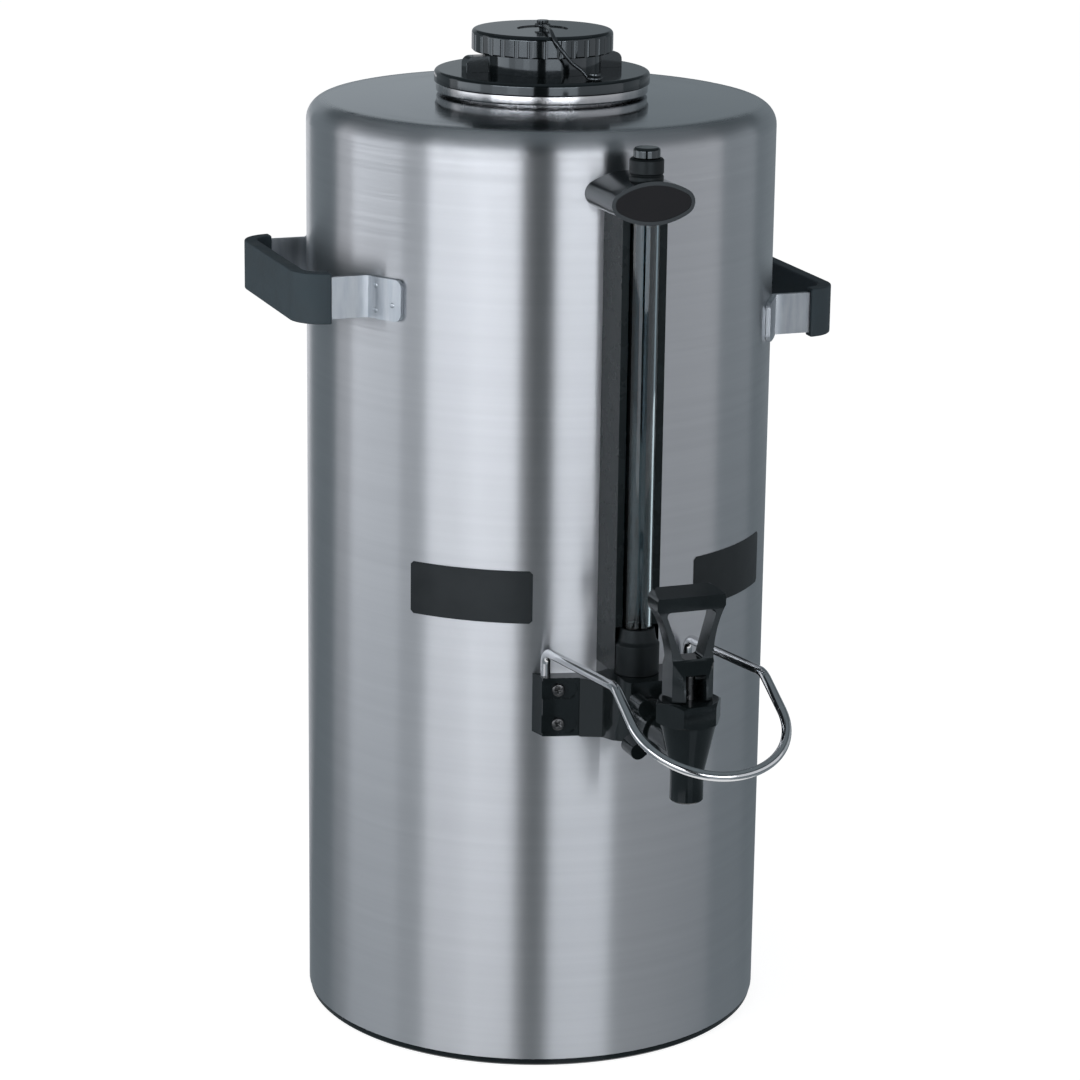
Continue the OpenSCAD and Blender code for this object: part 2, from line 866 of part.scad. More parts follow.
module gauge_shield() {
    groove_r = tube_r + 2*gap;
    web_y = gauge_y + groove_r + shield_t;
    rear_half = shield_w/2 - shield_t;
    color(black)
        difference() {
            translate([0, 0, shield_z])
                linear_extrude(height = boss_z - shield_z)
                    difference() {
                        translate([-shield_w/2, gauge_y])
                            square([shield_w, gauge_off + shoulder_r]);
                        translate([0, gauge_y])
                            circle(groove_r);
                        translate([-rear_half, web_y])
                            square([2*rear_half, gauge_off + shoulder_r]);
                    }
            body_space();
            front_sweep(0, face_y - over)
                boss_outline(fit);
            translate([0, gauge_y, shield_z - over])
                cylinder(h = foot_h + foot_lip_h + over + gap, r = foot_d/2 + gap);
        }
}

module gauge_tube() {
    color("#9fb4bd", 0.5)
        translate([0, gauge_y, tube_low])
            difference() {
                cylinder(h = tube_high - tube_low, r = tube_r);
                translate([0, 0, -over])
                    cylinder(h = tube_high - tube_low + 2*over, r = tube_r - tube_t);
            }
}

module gauge_boss() {
    color(gloss)
        difference() {
            front_sweep(-shoulder_x, face_y)
                boss_outline(0);
            body_space();
            translate([0, gauge_y, boss_z - boss_h])
                cylinder(h = 2*boss_h, r = tube_r + fit);
            front_sweep(face_y + rim_depth, face_y - over)
                boss_outline(-rim_w);
            translate([0, gauge_y, boss_top - sleeve_seat])
                cylinder(h = sleeve_seat + over, r = sleeve_d/2 + fit);
        }
}

module badge_insert() {
    back = face_y + rim_depth - fit;
    color("#1c1416")
        front_sweep(back, back - insert_t)
            boss_outline(-rim_w - fit);
}

module gauge_sleeve() {
    edge = 0.8;
    lip_h = 1.2;
    lip = 0.5;
    low = boss_top - sleeve_seat + fit;
    color(black)
        translate([0, gauge_y, 0])
            rotate_extrude()
                polygon([
                    [vent_bore_r, spigot_z], [tube_r, spigot_z], [tube_r, low], [sleeve_d/2, low],
                    [sleeve_d/2, sleeve_z + lip_h], [sleeve_d/2 - lip, sleeve_z + lip_h + lip],
                    [sleeve_d/2 - lip, sleeve_z + lip_h + 2*lip], [sleeve_d/2, sleeve_z + lip_h + 3*lip],
                    [sleeve_d/2, sleeve_top - edge], [sleeve_d/2 - edge, sleeve_top], [vent_bore_r, sleeve_top]
                ]);
}

module gauge_cap() {
    r = vent_d/2;
    round_r = 1.6;
    low = sleeve_top + gap;
    high = low + vent_h;
    color(gloss)
        translate([0, gauge_y, 0])
            rotate_extrude() {
                translate([0, low])
                    square([r, vent_h - round_r]);
                translate([0, low])
                    square([r - round_r, vent_h]);
                translate([r - round_r, high - round_r])
                    circle(round_r);
                translate([0, low - vent_stem_h])
                    square([vent_stem_d/2, vent_stem_h + over]);
            }
}

module gauge_collar() {
    bore = tube_r + fit;
    low = block_top + fit;
    shoulder = low + foot_h;
    lip_t = 1.2;
    lip_r = bore + lip_t;
    edge = 1;
    color(black)
        translate([0, gauge_y, 0])
            rotate_extrude()
                polygon([
                    [bore, low], [foot_d/2, low], [foot_d/2, shoulder - edge], [foot_d/2 - edge, shoulder],
                    [lip_r + edge, shoulder + edge], [lip_r, shoulder + foot_lip_h], [bore, shoulder + foot_lip_h]
                ]);
}

// A flat seal ring under or over the glass tube
module tube_seal(z) {
    color(rubber)
        translate([0, gauge_y, z])
            difference() {
                cylinder(h = seal_t, r = tube_r);
                translate([0, 0, -over])
                    cylinder(h = seal_t + 2*over, r = tube_r - tube_t - seal_lip);
            }
}

module gauge_seal_lower() {
    tube_seal(block_top + fit);
}

module gauge_seal_upper() {
    tube_seal(tube_high + fit);
}

// Plan of the wings along the shell
module wing_plan() {
    rear_y = -sqrt(body_r*body_r - wing_half*wing_half);
    front_y = rear_y - wing_t;
    front_half = wing_half - wing_taper;
    intersection() {
        circle(wing_r);
        polygon([
            [-wing_half, rear_y], [-front_half, front_y], [-front_half, -wing_r - over],
            [front_half, -wing_r - over], [front_half, front_y], [wing_half, rear_y]
        ]);
    }
}

// Plan of the block that carries the faucet and the gauge
module block_plan() {
    flare = block_half + wing_t;
    rear_y = -body_r + wing_t;
    root = 1;
    polygon([
        [-flare, rear_y], [-flare, root - wing_r], [-block_half, -wing_r - wing_t],
        [-block_half, block_y + nose_l], [-block_front_half, block_y],
        [block_front_half, block_y], [block_half, block_y + nose_l],
        [block_half, -wing_r - wing_t], [flare, root - wing_r], [flare, rear_y]
    ]);
}

// One round-ended pocket in a wing, open towards the wing's end
module pocket(side, z) {
    end = wing_half + over;
    front_sweep(-body_r + wing_t*2, -wing_r - over)
        translate([side*(screw_x - pocket_h/2), z]) {
            circle(pocket_h/2);
            translate([side > 0 ? 0 : screw_x - pocket_h/2 - end, -pocket_h/2])
                square([end - screw_x + pocket_h/2, pocket_h]);
        }
}

module faucet_bracket() {
    under_y = -wing_r;
    color(black)
        difference() {
            union() {
                translate([0, 0, wing_z])
                    linear_extrude(height = wing_top - wing_z)
                        wing_plan();
                translate([0, 0, wing_z])
                    linear_extrude(height = wing_top - wing_z)
                        block_plan();
                translate([0, 0, wing_z])
                    linear_extrude(height = block_top - wing_z)
                        intersection() {
                            block_plan();
                            translate([-shield_w/2, block_y])
                                square([shield_w, -block_y]);
                        }
            }
            body_space();
            side_sweep(4*block_half)
                polygon([
                    [-under_y, wing_z], [-block_y + over, wing_z + block_under],
                    [-block_y + over, wing_z - over], [-under_y, wing_z - over]
                ]);
            translate([0, 0, shank_z]) {
                along_y(-body_r + wing_t, outlet_end - fit, outlet_r + fit);
                along_y(outlet_end + over, shank_start - over, flow_r);
                along_y(shank_start + fit, block_y - over, shank_r + fit);
            }
            translate([0, gauge_y, shank_z])
                cylinder(h = block_up + over, r = riser_d/2);
            for (s = [-1, 1]) {
                translate([s*guard_half, foot_y, wing_top - guard_depth])
                    cylinder(h = guard_depth + over, r = wire_d/2 + fit);
                for (t = [-1, 1]) {
                    intersection() {
                        pocket(s, wing_middle() + t*screw_half);
                        pocket_depth_zone();
                    }
                    screw_place(s, t)
                        cylinder(h = 2*wing_t, r = screw_d/2 + fit, center = true);
                }
            }
        }
}

// Height of the middle between the screws
function wing_middle() = (wing_z + wing_top)/2;

// The outer skin of the wings that the pockets cut away
module pocket_depth_zone() {
    translate([0, 0, wing_z])
        difference() {
            cylinder(h = wing_top - wing_z, r = wing_r + over);
            cylinder(h = wing_top - wing_z, r = wing_r - pocket_depth);
        }
}

// Place and direction of one screw, outwards along +Z from the pocket's floor
module screw_place(side, level) {
    turn = side*asin(screw_x/wing_r);
    rotate([0, 0, turn])
        translate([0, -(wing_r - pocket_depth), wing_middle() + level*screw_half])
            rotate([90, 0, 0])
                children();
}

module bracket_screws() {
    edge = 0.7;
    skin = 1;
    shank_l = wing_t - pocket_depth - skin;
    color(chrome)
        for (s = [-1, 1])
            for (t = [-1, 1])
                screw_place(s, t)
                    rotate_extrude()
                        polygon([
                            [0, -shank_l], [screw_d/2, -shank_l], [screw_d/2, fit], [screw_head_d/2, fit],
                            [screw_head_d/2, screw_head_t - edge], [screw_head_d/2 - edge, screw_head_t],
                            [0, screw_head_t]
                        ]);
}

// A straight stretch of wire upwards that laps its bends, with what follows at its end
module wire(l) {
    translate([0, 0, -wire_lap])
        cylinder(h = l + 2*wire_lap, r = wire_d/2);
    translate([0, 0, l])
        children();
}

// A wire bend towards -Y, with what follows at its end
module wire_bend(r, turn) {
    translate([0, -r, 0]) {
        rotate([90, 0, 90])
            rotate_extrude(angle = turn)
                translate([r, 0])
                    circle(wire_d/2 - hair);
        rotate([turn, 0, 0])
            translate([0, r, 0])
                children();
    }
}

// One leg of the guard from its end in the wing to the round of the loop
module guard_leg_wire(side) {
    foot_l = guard_depth + guard_up - bend_rear_cut - wire_lap - fit;
    translate([side*guard_half, foot_y, wing_top - guard_depth + wire_lap + fit])
        wire(foot_l)
            wire_bend(bend_rear, 90 - guard_slope)
                wire(guard_leg - bend_rear_cut - bend_front_cut)
                    wire_bend(bend_front, guard_slope + guard_dip)
                        wire(guard_tip - bend_front_cut)
                            children();
}

module guard_wire() {
    color(chrome) {
        guard_leg_wire(-1)
            rotate([0, 0, 90])
                wire_bend(guard_half, 180);
        guard_leg_wire(1);
    }
}

module faucet_shank() {
    end_y = socket_y + fit;
    color(black)
        translate([0, 0, shank_z])
            difference() {
                along_y(shank_start, end_y, shank_r);
                along_y(shank_start + over, end_y - over, flow_r);
            }
}

module shank_gasket() {
    color(rubber)
        translate([0, 0, shank_z])
            difference() {
                along_y(block_y - fit, block_y - gasket_t, nut_d/2);
                along_y(block_y + over, block_y - gasket_t - over, shank_r + fit);
            }
}

module hand_nut() {
    hub_end = nut_y - nut_t;
    lobe_margin = 2;
    color(black)
        translate([0, 0, shank_z])
            difference() {
                union() {
                    along_y(nut_y, hub_end, nut_d/2);
                    for (i = [0:3])
                        rotate([0, -lobe_angle - 90*i, 0])
                            front_sweep(nut_y - lobe_margin, hub_end + lobe_margin) {
                                translate([0, -lobe_d/2])
                                    square([lobe_reach - lobe_d/2, lobe_d]);
                                translate([lobe_reach - lobe_d/2, 0])
                                    circle(lobe_d/2);
                            }
                }
                along_y(nut_y + over, hub_end - over, shank_r + gap);
            }
}

module faucet_body() {
    r = spout_d/2;
    edge = 0.8;
    color(black)
        difference() {
            union() {
                translate([0, faucet_y, 0])
                    rotate_extrude()
                        polygon([
                            [0, spout_z], [r - edge, spout_z], [r, spout_z + edge], [r, cone_z],
                            [cone_d/2, cone_top - edge], [cone_d/2, cone_top], [0, cone_top]
                        ]);
                translate([0, 0, shank_z])
                    along_y(inlet_y, faucet_y, inlet_d/2);
            }
            translate([0, faucet_y, spout_z - over])
                cylinder(h = cone_top - spout_z, r = seat_r);
            translate([0, faucet_y, seat_z])
                cylinder(h = cone_top - seat_z + over, r = chamber_r);
            translate([0, 0, shank_z]) {
                along_y(inlet_y + over, socket_y, shank_r + fit);
                along_y(socket_y + over, faucet_y, flow_r);
            }
        }
}

module faucet_bonnet() {
    corner_r = bonnet_af/sqrt(3);
    low = cone_top + fit;
    face = 0.4;
    top_r = bonnet_af/2 - face;
    slope = 0.5;
    color(black)
        translate([0, faucet_y, 0])
            difference() {
                union() {
                    intersection() {
                        translate([0, 0, low])
                            cylinder(h = bonnet_top - low, r = corner_r, $fn = 6);
                        rotate_extrude()
                            polygon([
                                [0, low], [top_r + slope, low], [corner_r, low + (corner_r - top_r)*slope],
                                [corner_r, bonnet_top - (corner_r - top_r)*slope], [top_r, bonnet_top],
                                [0, bonnet_top]
                            ]);
                    }
                    translate([0, 0, cone_top - bonnet_spigot])
                        cylinder(h = bonnet_spigot + over, r = chamber_r - fit);
                }
                translate([0, 0, cone_top - bonnet_spigot - over])
                    cylinder(h = bonnet_h + bonnet_spigot + 2*over, r = stem_r + run);
            }
}

module valve_stem() {
    low = cup_z + cup_h/2;
    color(chrome)
        translate([0, faucet_y, 0])
            difference() {
                union() {
                    translate([0, 0, low])
                        cylinder(h = pin_z - low, r = stem_r);
                    intersection() {
                        translate([0, 0, pin_z])
                            rotate([0, 90, 0])
                                cylinder(h = stem_d, r = stem_r, center = true);
                        translate([0, 0, low])
                            cylinder(h = stem_top - low, r = stem_r);
                    }
                }
                translate([0, 0, pin_z])
                    rotate([0, 90, 0])
                        cylinder(h = 2*stem_d, r = pin_d/2 + fit/2, center = true);
            }
}

module seat_cup() {
    lip = 1.2;
    color("#7d6a55")
        translate([0, faucet_y, 0])
            difference() {
                rotate_extrude()
                    polygon([
                        [0, cup_z], [seat_r - gap, cup_z], [cup_r, cup_z + lip], [cup_r, cup_z + 2*lip],
                        [cup_r - lip, cup_z + cup_h], [0, cup_z + cup_h]
                    ]);
                translate([0, 0, cup_z + cup_h/2 - fit])
                    cylinder(h = cup_h, r = stem_r + fit);
            }
}

// Middle line of the coil from its foot to its head
spring_sides = 6;
spring_rings = 16;
spring_pitch = (spring_high - spring_low - spring_wire)/spring_turns;
spring_path = [
    for (i = [0:spring_turns*spring_rings])
        let (a = 360*i/spring_rings)
        [spring_r*cos(a), spring_r*sin(a), spring_low + spring_wire/2 + spring_pitch*i/spring_rings]
];

module faucet_spring() {
    echo(spring_gap = spring_pitch - spring_wire);
    color(chrome)
        translate([0, faucet_y, 0])
            tube_along(spring_path, spring_wire/2 - fit, spring_sides, [0, 0, 1]);
}

module handle_pin() {
    color(chrome)
        translate([0, faucet_y, pin_z])
            rotate([0, 90, 0])
                cylinder(h = pin_l, r = pin_d/2, center = true);
}

// Toe of the lever's foot: the point that meets the bonnet when the lever has turned by a
function toe(a) =
    let (p = toe_h + lift_rate*a*PI/180)
    [lift_rate*cos(a) + p*sin(a), pin_z - bonnet_top + lift_rate*sin(a) - p*cos(a)];

// Side view of the lever, forwards and upwards from the bonnet's top under the pin
module lever_side() {
    steps = 7;
    back = 8;
    back_h = 16.5;
    front = bar_depth/2 - bar_back;
    rear = bar_depth/2 + bar_back;
    undercut = 5;
    top = bar_up + bar_h;
    polygon(concat(
        [[-back, pin_up - toe_h]],
        [for (i = [0:steps]) toe(lever_travel*i/steps)],
        [
            [lever_face, lever_edge], [arm_front, window_up], [front, bar_up], [front, top - bar_slope],
            [-rear, top], [-rear, bar_up], [front - arm_depth, bar_up - undercut],
            [arm_front - arm_depth, window_up], [-back, back_h]
        ]
    ));
}

// Front view of the lever's stirrup, from the foot up to the grip bar
module lever_front() {
    flare_r = 54;
    wide = bar_w/2;
    end_r = bar_h/2;
    difference() {
        translate([-wide, flare_up])
            square([2*wide, bar_up + end_r - flare_up]);
        for (s = [-1, 1])
            translate([s*(lever_w/2 + flare_r), flare_up])
                circle(flare_r);
    }
    translate([end_r - wide, bar_up])
        square([2*wide - bar_h, bar_h]);
    for (s = [-1, 1])
        translate([s*(wide - end_r), bar_up + end_r])
            circle(end_r);
}

// The finger window with rounded corners
module lever_window() {
    r = 2;
    hull()
        for (s = [-1, 1]) {
            translate([s*(window_top - r), bar_up - r])
                circle(r, $fn = 32);
            translate([s*(window_bottom - r), window_up + r])
                circle(r, $fn = 32);
        }
}

// Plan of the lever's foot with its bevelled front corners
module lever_plan() {
    front = toe(lever_travel)[0];
    bevel = (lever_w - lever_flat)/2;
    rear = bar_depth;
    polygon([
        [-lever_w/2, rear], [-lever_w/2, bevel - front], [-lever_flat/2, -front],
        [lever_flat/2, -front], [lever_w/2, bevel - front], [lever_w/2, rear]
    ]);
}

module faucet_handle() {
    rear = stem_r + 2*gap;
    deep = 4*bar_depth;
    color(gloss)
        translate([0, faucet_y, bonnet_top])
            difference() {
                intersection() {
                    side_sweep(2*bar_w)
                        lever_side();
                    union() {
                        linear_extrude(height = flare_up + over)
                            lever_plan();
                        front_sweep(deep/2, -deep/2)
                            lever_front();
                    }
                }
                front_sweep(deep/2, -deep/2)
                    lever_window();
                translate([-pin_l/2 - fit, 0, pin_up])
                    rotate([0, 90, 0])
                        cylinder(h = bar_w, r = pin_d/2 + run);
                side_sweep(slot_w)
                    translate([-rear, -over])
                        square([deep, over + pin_up + rear]);
            }
}

// Plan of one carrying handle's strap on the +X side, with a skin of the thickness grow
module strap_plan(grow) {
    outer = bar_x + grow;
    inner = bar_x - strap_t - grow;
    half = handle_half + grow;
    inner_half = handle_half - strap_t - grow;
    r_out = handle_r + grow;
    r_in = handle_r - strap_t - grow;
    difference() {
        intersection() {
            union() {
                translate([0, -half])
                    square([outer - r_out, 2*half]);
                translate([0, -half + r_out])
                    square([outer, 2*half - 2*r_out]);
                for (s = [-1, 1])
                    translate([outer - r_out, s*(half - r_out)])
                        circle(r_out);
            }
            translate([0, -body_r])
                square(2*body_r);
        }
        union() {
            translate([-over, -inner_half])
                square([inner - r_in + over, 2*inner_half]);
            translate([-over, -inner_half + r_in])
                square([inner + over, 2*inner_half - 2*r_in]);
            for (s = [-1, 1])
                translate([inner - r_in, s*(inner_half - r_in)])
                    circle(r_in);
        }
    }
}

// Angle in the middle of a leg's thickness, where its foot starts
function foot_start() = asin((handle_half - strap_t/2)/(body_r + strap_t));

// Plan of one foot along the shell, beyond the leg at its side
module foot_plan(side) {
    start = foot_start();
    end = start + handle_foot;
    far = 2*body_r;
    intersection() {
        difference() {
            circle(body_r + fit + strap_t);
            circle(body_r + fit);
        }
        polygon([
            [0, 0], [far*cos(start), side*far*sin(start)], [far*cos(end), side*far*sin(end)]
        ]);
    }
}

// Corner of a foot that its rounding takes away, seen along the shell's radius
module foot_corner(side, level) {
    end = foot_start() + handle_foot;
    r = handle_foot_r;
    rotate([0, 0, side*end])
        translate([body_r - over, -side*(r - hair), level*(strap_h/2 - r + hair)])
            rotate([0, 90, 0])
                linear_extrude(height = strap_t + 3*over)
                    difference() {
                        translate([level > 0 ? -r - over : 0, side > 0 ? 0 : -r - over])
                            square(r + over);
                        circle(r);
                    }
}

module handle_strap() {
    color(steel)
        difference() {
            translate([0, 0, -strap_h/2])
                linear_extrude(height = strap_h) {
                    difference() {
                        strap_plan(0);
                        circle(body_r + fit);
                    }
                    for (s = [-1, 1])
                        foot_plan(s);
                }
            for (s = [-1, 1])
                for (t = [-1, 1])
                    foot_corner(s, t);
        }
}

module handle_grip() {
    start = body_r + grip_start;
    color(rubber)
        difference() {
            translate([0, 0, -grip_h/2])
                linear_extrude(height = grip_h)
                    intersection() {
                        strap_plan(grip_t);
                        translate([start, -body_r])
                            square(2*body_r);
                    }
            translate([0, 0, -strap_h/2 - fit])
                linear_extrude(height = strap_h + 2*fit)
                    strap_plan(fit);
        }
}

module handle_bracket_left() {
    translate([0, 0, handle_left_z])
        rotate([0, 0, 180])
            handle_strap();
}

module handle_bracket_right() {
    translate([0, 0, handle_right_z])
        handle_strap();
}

module handle_grip_left() {
    translate([0, 0, handle_left_z])
        rotate([0, 0, 180])
            handle_grip();
}

module handle_grip_right() {
    translate([0, 0, handle_right_z])
        handle_grip();
}

base_pan();
shell_wall();
shell_top();
neck_collar();
liner_wall();
liner_floor();
liner_top();
jacket_bottom();
outlet_tube();
lid_gasket();
lid_ring();
cap_gasket();
screw_cap();
tether();
tether_anchor();
gauge_shield();
gauge_tube();
gauge_boss();
badge_insert();
gauge_sleeve();
gauge_cap();
gauge_collar();
gauge_seal_lower();
gauge_seal_upper();
faucet_bracket();
bracket_screws();
guard_wire();
faucet_shank();
shank_gasket();
hand_nut();
faucet_body();
faucet_bonnet();
valve_stem();
seat_cup();
faucet_spring();
handle_pin();
faucet_handle();
handle_bracket_left();
handle_bracket_right();
handle_grip_left();
handle_grip_right();
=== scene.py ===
"""Insulated coffee server: the finish of every piece, its small fittings, the studio and the camera."""
import math

import bmesh
import bpy
from mathutils import Matrix, Vector


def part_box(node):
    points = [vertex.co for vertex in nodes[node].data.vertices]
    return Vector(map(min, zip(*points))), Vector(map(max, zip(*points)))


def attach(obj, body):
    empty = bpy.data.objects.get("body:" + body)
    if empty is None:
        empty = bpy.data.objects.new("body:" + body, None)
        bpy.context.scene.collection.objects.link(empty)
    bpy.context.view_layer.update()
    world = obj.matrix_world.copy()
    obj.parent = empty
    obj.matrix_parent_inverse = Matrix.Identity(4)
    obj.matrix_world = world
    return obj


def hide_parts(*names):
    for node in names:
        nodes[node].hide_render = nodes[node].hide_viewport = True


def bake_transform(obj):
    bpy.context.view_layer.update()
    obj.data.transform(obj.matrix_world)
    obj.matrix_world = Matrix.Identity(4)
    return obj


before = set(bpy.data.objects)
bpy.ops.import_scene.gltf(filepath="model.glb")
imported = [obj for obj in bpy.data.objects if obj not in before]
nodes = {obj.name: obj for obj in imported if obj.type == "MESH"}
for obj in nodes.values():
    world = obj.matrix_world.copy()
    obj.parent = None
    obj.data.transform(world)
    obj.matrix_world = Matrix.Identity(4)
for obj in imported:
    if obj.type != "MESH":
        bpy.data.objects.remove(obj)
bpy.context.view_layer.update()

MM = 0.001

# Outer radius of the shell, in metres
BODY_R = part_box("shell_wall")[1].x


# Node helpers

# The part of a noise's range that is used, and the noise's own roughness
NOISE_LOW = 0.3
NOISE_HIGH = 0.7
NOISE_ROUGHNESS = 0.55


def new_material(name, colour, roughness, metallic=0.0):
    """A material whose constant values sit on the shader itself."""
    material = bpy.data.materials.new(name)
    material.use_nodes = True
    tree = material.node_tree
    shader = tree.nodes["Principled BSDF"]
    shader.inputs["Base Color"].default_value = (*colour, 1.0)
    shader.inputs["Roughness"].default_value = roughness
    shader.inputs["Metallic"].default_value = metallic
    material.diffuse_color = (*colour, 1.0)
    return material, tree, shader


def add_node(tree, kind, **inputs):
    """A node of the kind, with the given input values."""
    node = tree.nodes.new(kind)
    for key, value in inputs.items():
        node.inputs[key.replace("_", " ")].default_value = value
    return node


def math_node(tree, kind, operation):
    """A node of the kind that does the operation."""
    node = tree.nodes.new(kind)
    node.operation = operation
    return node


def object_noise(tree, stretch, detail):
    """Noise over the piece's own coordinates, with its own frequency along X, Y and Z, per metre."""
    place = tree.nodes.new("ShaderNodeTexCoord")
    mapping = add_node(tree, "ShaderNodeMapping", Scale=stretch)
    noise = add_node(tree, "ShaderNodeTexNoise", Scale=1.0, Detail=detail, Roughness=NOISE_ROUGHNESS)
    tree.links.new(place.outputs["Object"], mapping.inputs["Vector"])
    tree.links.new(mapping.outputs["Vector"], noise.inputs["Vector"])
    return noise.outputs["Fac"]


def map_range(tree, value, start, end, low, high):
    """A node that maps the value from the range between start and end to the one between low and high."""
    node = add_node(tree, "ShaderNodeMapRange", From_Min=start, From_Max=end, To_Min=low, To_Max=high)
    tree.links.new(value, node.inputs["Value"])
    return node


def spread(tree, value, low, high):
    """The noise value mapped to the range from low to high."""
    return map_range(tree, value, NOISE_LOW, NOISE_HIGH, low, high).outputs["Result"]


def radial(tree, inner, outer, low, high):
    """A value that goes from low at the inner radius to high at the outer radius, about the Z axis."""
    place = tree.nodes.new("ShaderNodeTexCoord")
    flat = math_node(tree, "ShaderNodeVectorMath", "MULTIPLY")
    flat.inputs[1].default_value = (1, 1, 0)
    length = math_node(tree, "ShaderNodeVectorMath", "LENGTH")
    tree.links.new(place.outputs["Object"], flat.inputs[0])
    tree.links.new(flat.outputs["Vector"], length.inputs[0])
    ramp = map_range(tree, length.outputs["Value"], inner, outer, low, high)
    ramp.interpolation_type = "SMOOTHSTEP"
    return ramp.outputs["Result"]


def tint(tree, value, dark, light):
    """The noise value mapped to a colour between dark and light."""
    ramp = tree.nodes.new("ShaderNodeValToRGB")
    stops = (NOISE_LOW, dark), (NOISE_HIGH, light)
    for stop, (position, colour) in zip(ramp.color_ramp.elements, stops):
        stop.position = position
        stop.color = (*colour, 1.0)
    tree.links.new(value, ramp.inputs["Fac"])
    return ramp.outputs["Color"]


def bump(tree, shader, value, height, strength=1.0):
    """Relief of the given height in metres, from the value."""
    node = add_node(tree, "ShaderNodeBump", Strength=strength, Distance=height)
    tree.links.new(value, node.inputs["Height"])
    tree.links.new(node.outputs["Normal"], shader.inputs["Normal"])


# Brushed sheet: frequencies of its fine and broad strokes, their relief, and the sheet's colours

STROKE_FINE = (9, 9, 1700)
STROKE_BROAD = (3, 3, 260)
STROKE_DEPTH = 0.01 * MM
STROKE_STRENGTH = 0.07
STROKE_GLOSS = 0.03
SHEET_DARK = (0.54, 0.553, 0.575)
SHEET_MEAN = (0.555, 0.568, 0.59)
SHEET_LIGHT = (0.57, 0.583, 0.605)
ACROSS_STROKES = 0.25


def brushed_steel(name, roughness, anisotropy, flat_roughness=None, flat_r=0.0, round_r=0.0):
    """Stainless sheet brushed round the axis, so that reflections stretch across the strokes.

    With a flat roughness, the sheet is smoother inside the radius flat_r, and as usual beyond round_r.
    """
    material, tree, shader = new_material(name, SHEET_MEAN, roughness, 1.0)
    fine = object_noise(tree, STROKE_FINE, detail=3.0)
    broad = object_noise(tree, STROKE_BROAD, detail=4.0)
    total = math_node(tree, "ShaderNodeMath", "ADD")
    total.inputs[1].default_value = roughness
    tree.links.new(spread(tree, fine, -STROKE_GLOSS, STROKE_GLOSS), total.inputs[0])
    if flat_roughness is not None:
        tree.links.new(radial(tree, flat_r, round_r, flat_roughness, roughness), total.inputs[1])
    tree.links.new(total.outputs[0], shader.inputs["Roughness"])
    tree.links.new(tint(tree, broad, SHEET_DARK, SHEET_LIGHT), shader.inputs["Base Color"])
    bump(tree, shader, fine, STROKE_DEPTH, STROKE_STRENGTH)
    tangent = tree.nodes.new("ShaderNodeTangent")
    tangent.direction_type = "RADIAL"
    tangent.axis = "Z"
    tree.links.new(tangent.outputs["Tangent"], shader.inputs["Tangent"])
    shader.inputs["Anisotropic"].default_value = anisotropy
    shader.inputs["Anisotropic Rotation"].default_value = ACROSS_STROKES
    return material


# Plain sheet of the handles' straps: its streaks, clouds and colours, and where and how far painted shade
# darkens the arms

MILL_STREAK = (60, 60, 700)
MILL_CLOUD = (260, 260, 40)
MILL_DEPTH = 0.02 * MM
MILL_STRENGTH = 0.4
MILL_ROUGHNESS = 0.38
MILL_SHINY = 0.30
MILL_DULL = 0.48
MILL_DARK = (0.39, 0.43, 0.47)
MILL_MEAN = (0.42, 0.455, 0.49)
MILL_LIGHT = (0.57, 0.60, 0.63)
# Painted shade: between these two radii the strap's colour darkens from the feet onto the arms, down to this
# share
FOOT_END_R = BODY_R + 3 * MM
ARM_START_R = BODY_R + 7 * MM
ARM_PAINTED_SHADE = 0.68


def mill_steel():
    """Sheet streaked by the bending tools, with painted shade that makes the straps' arms darker than their
    feet.
    """
    material, tree, shader = new_material("mill_steel", MILL_MEAN, MILL_ROUGHNESS, 1.0)
    streak = object_noise(tree, MILL_STREAK, detail=3.0)
    cloud = object_noise(tree, MILL_CLOUD, detail=4.0)
    tree.links.new(spread(tree, cloud, MILL_SHINY, MILL_DULL), shader.inputs["Roughness"])
    # Painted shade: the cloud's colours are scaled down from the feet out onto the arms
    cloud_tone_and_painted_shade = math_node(tree, "ShaderNodeVectorMath", "SCALE")
    tree.links.new(tint(tree, cloud, MILL_DARK, MILL_LIGHT), cloud_tone_and_painted_shade.inputs[0])
    tree.links.new(radial(tree, FOOT_END_R, ARM_START_R, 1.0, ARM_PAINTED_SHADE), cloud_tone_and_painted_shade.inputs["Scale"])
    tree.links.new(cloud_tone_and_painted_shade.outputs["Vector"], shader.inputs["Base Color"])
    bump(tree, shader, streak, MILL_DEPTH, MILL_STRENGTH)
    return material


# Polished steel: its cool cast, and how far its haze changes the tone and the roughness

COOL_CAST = (0.98, 0.995, 1.015)
HAZE = (180, 180, 180)
HAZE_TONE = 0.04
HAZE_SHINY = 0.7
HAZE_DULL = 1.5


def polished_steel(name, roughness, brightness):
    """Plated or polished steel with faint polishing haze."""
    light = tuple((1 + HAZE_TONE) * brightness * c for c in COOL_CAST)
    dark = tuple((1 - HAZE_TONE) * brightness * c for c in COOL_CAST)
    material, tree, shader = new_material(name, light, roughness, 1.0)
    haze = object_noise(tree, HAZE, detail=4.0)
    gloss = spread(tree, haze, roughness * HAZE_SHINY, roughness * HAZE_DULL)
    tree.links.new(gloss, shader.inputs["Roughness"])
    tree.links.new(tint(tree, haze, dark, light), shader.inputs["Base Color"])
    return material


# Moulded plastic: the flow of the melt, the pores of the mould, and the cool tone of its reflections

FLOW = (70, 70, 70)
PORES = (2600, 2600, 2600)
FLOW_TONE = 1.5
FLOW_SHINY = 0.85
FLOW_DULL = 1.2
REFLECTED_TONE = (0.84, 0.94, 1.0, 1.0)


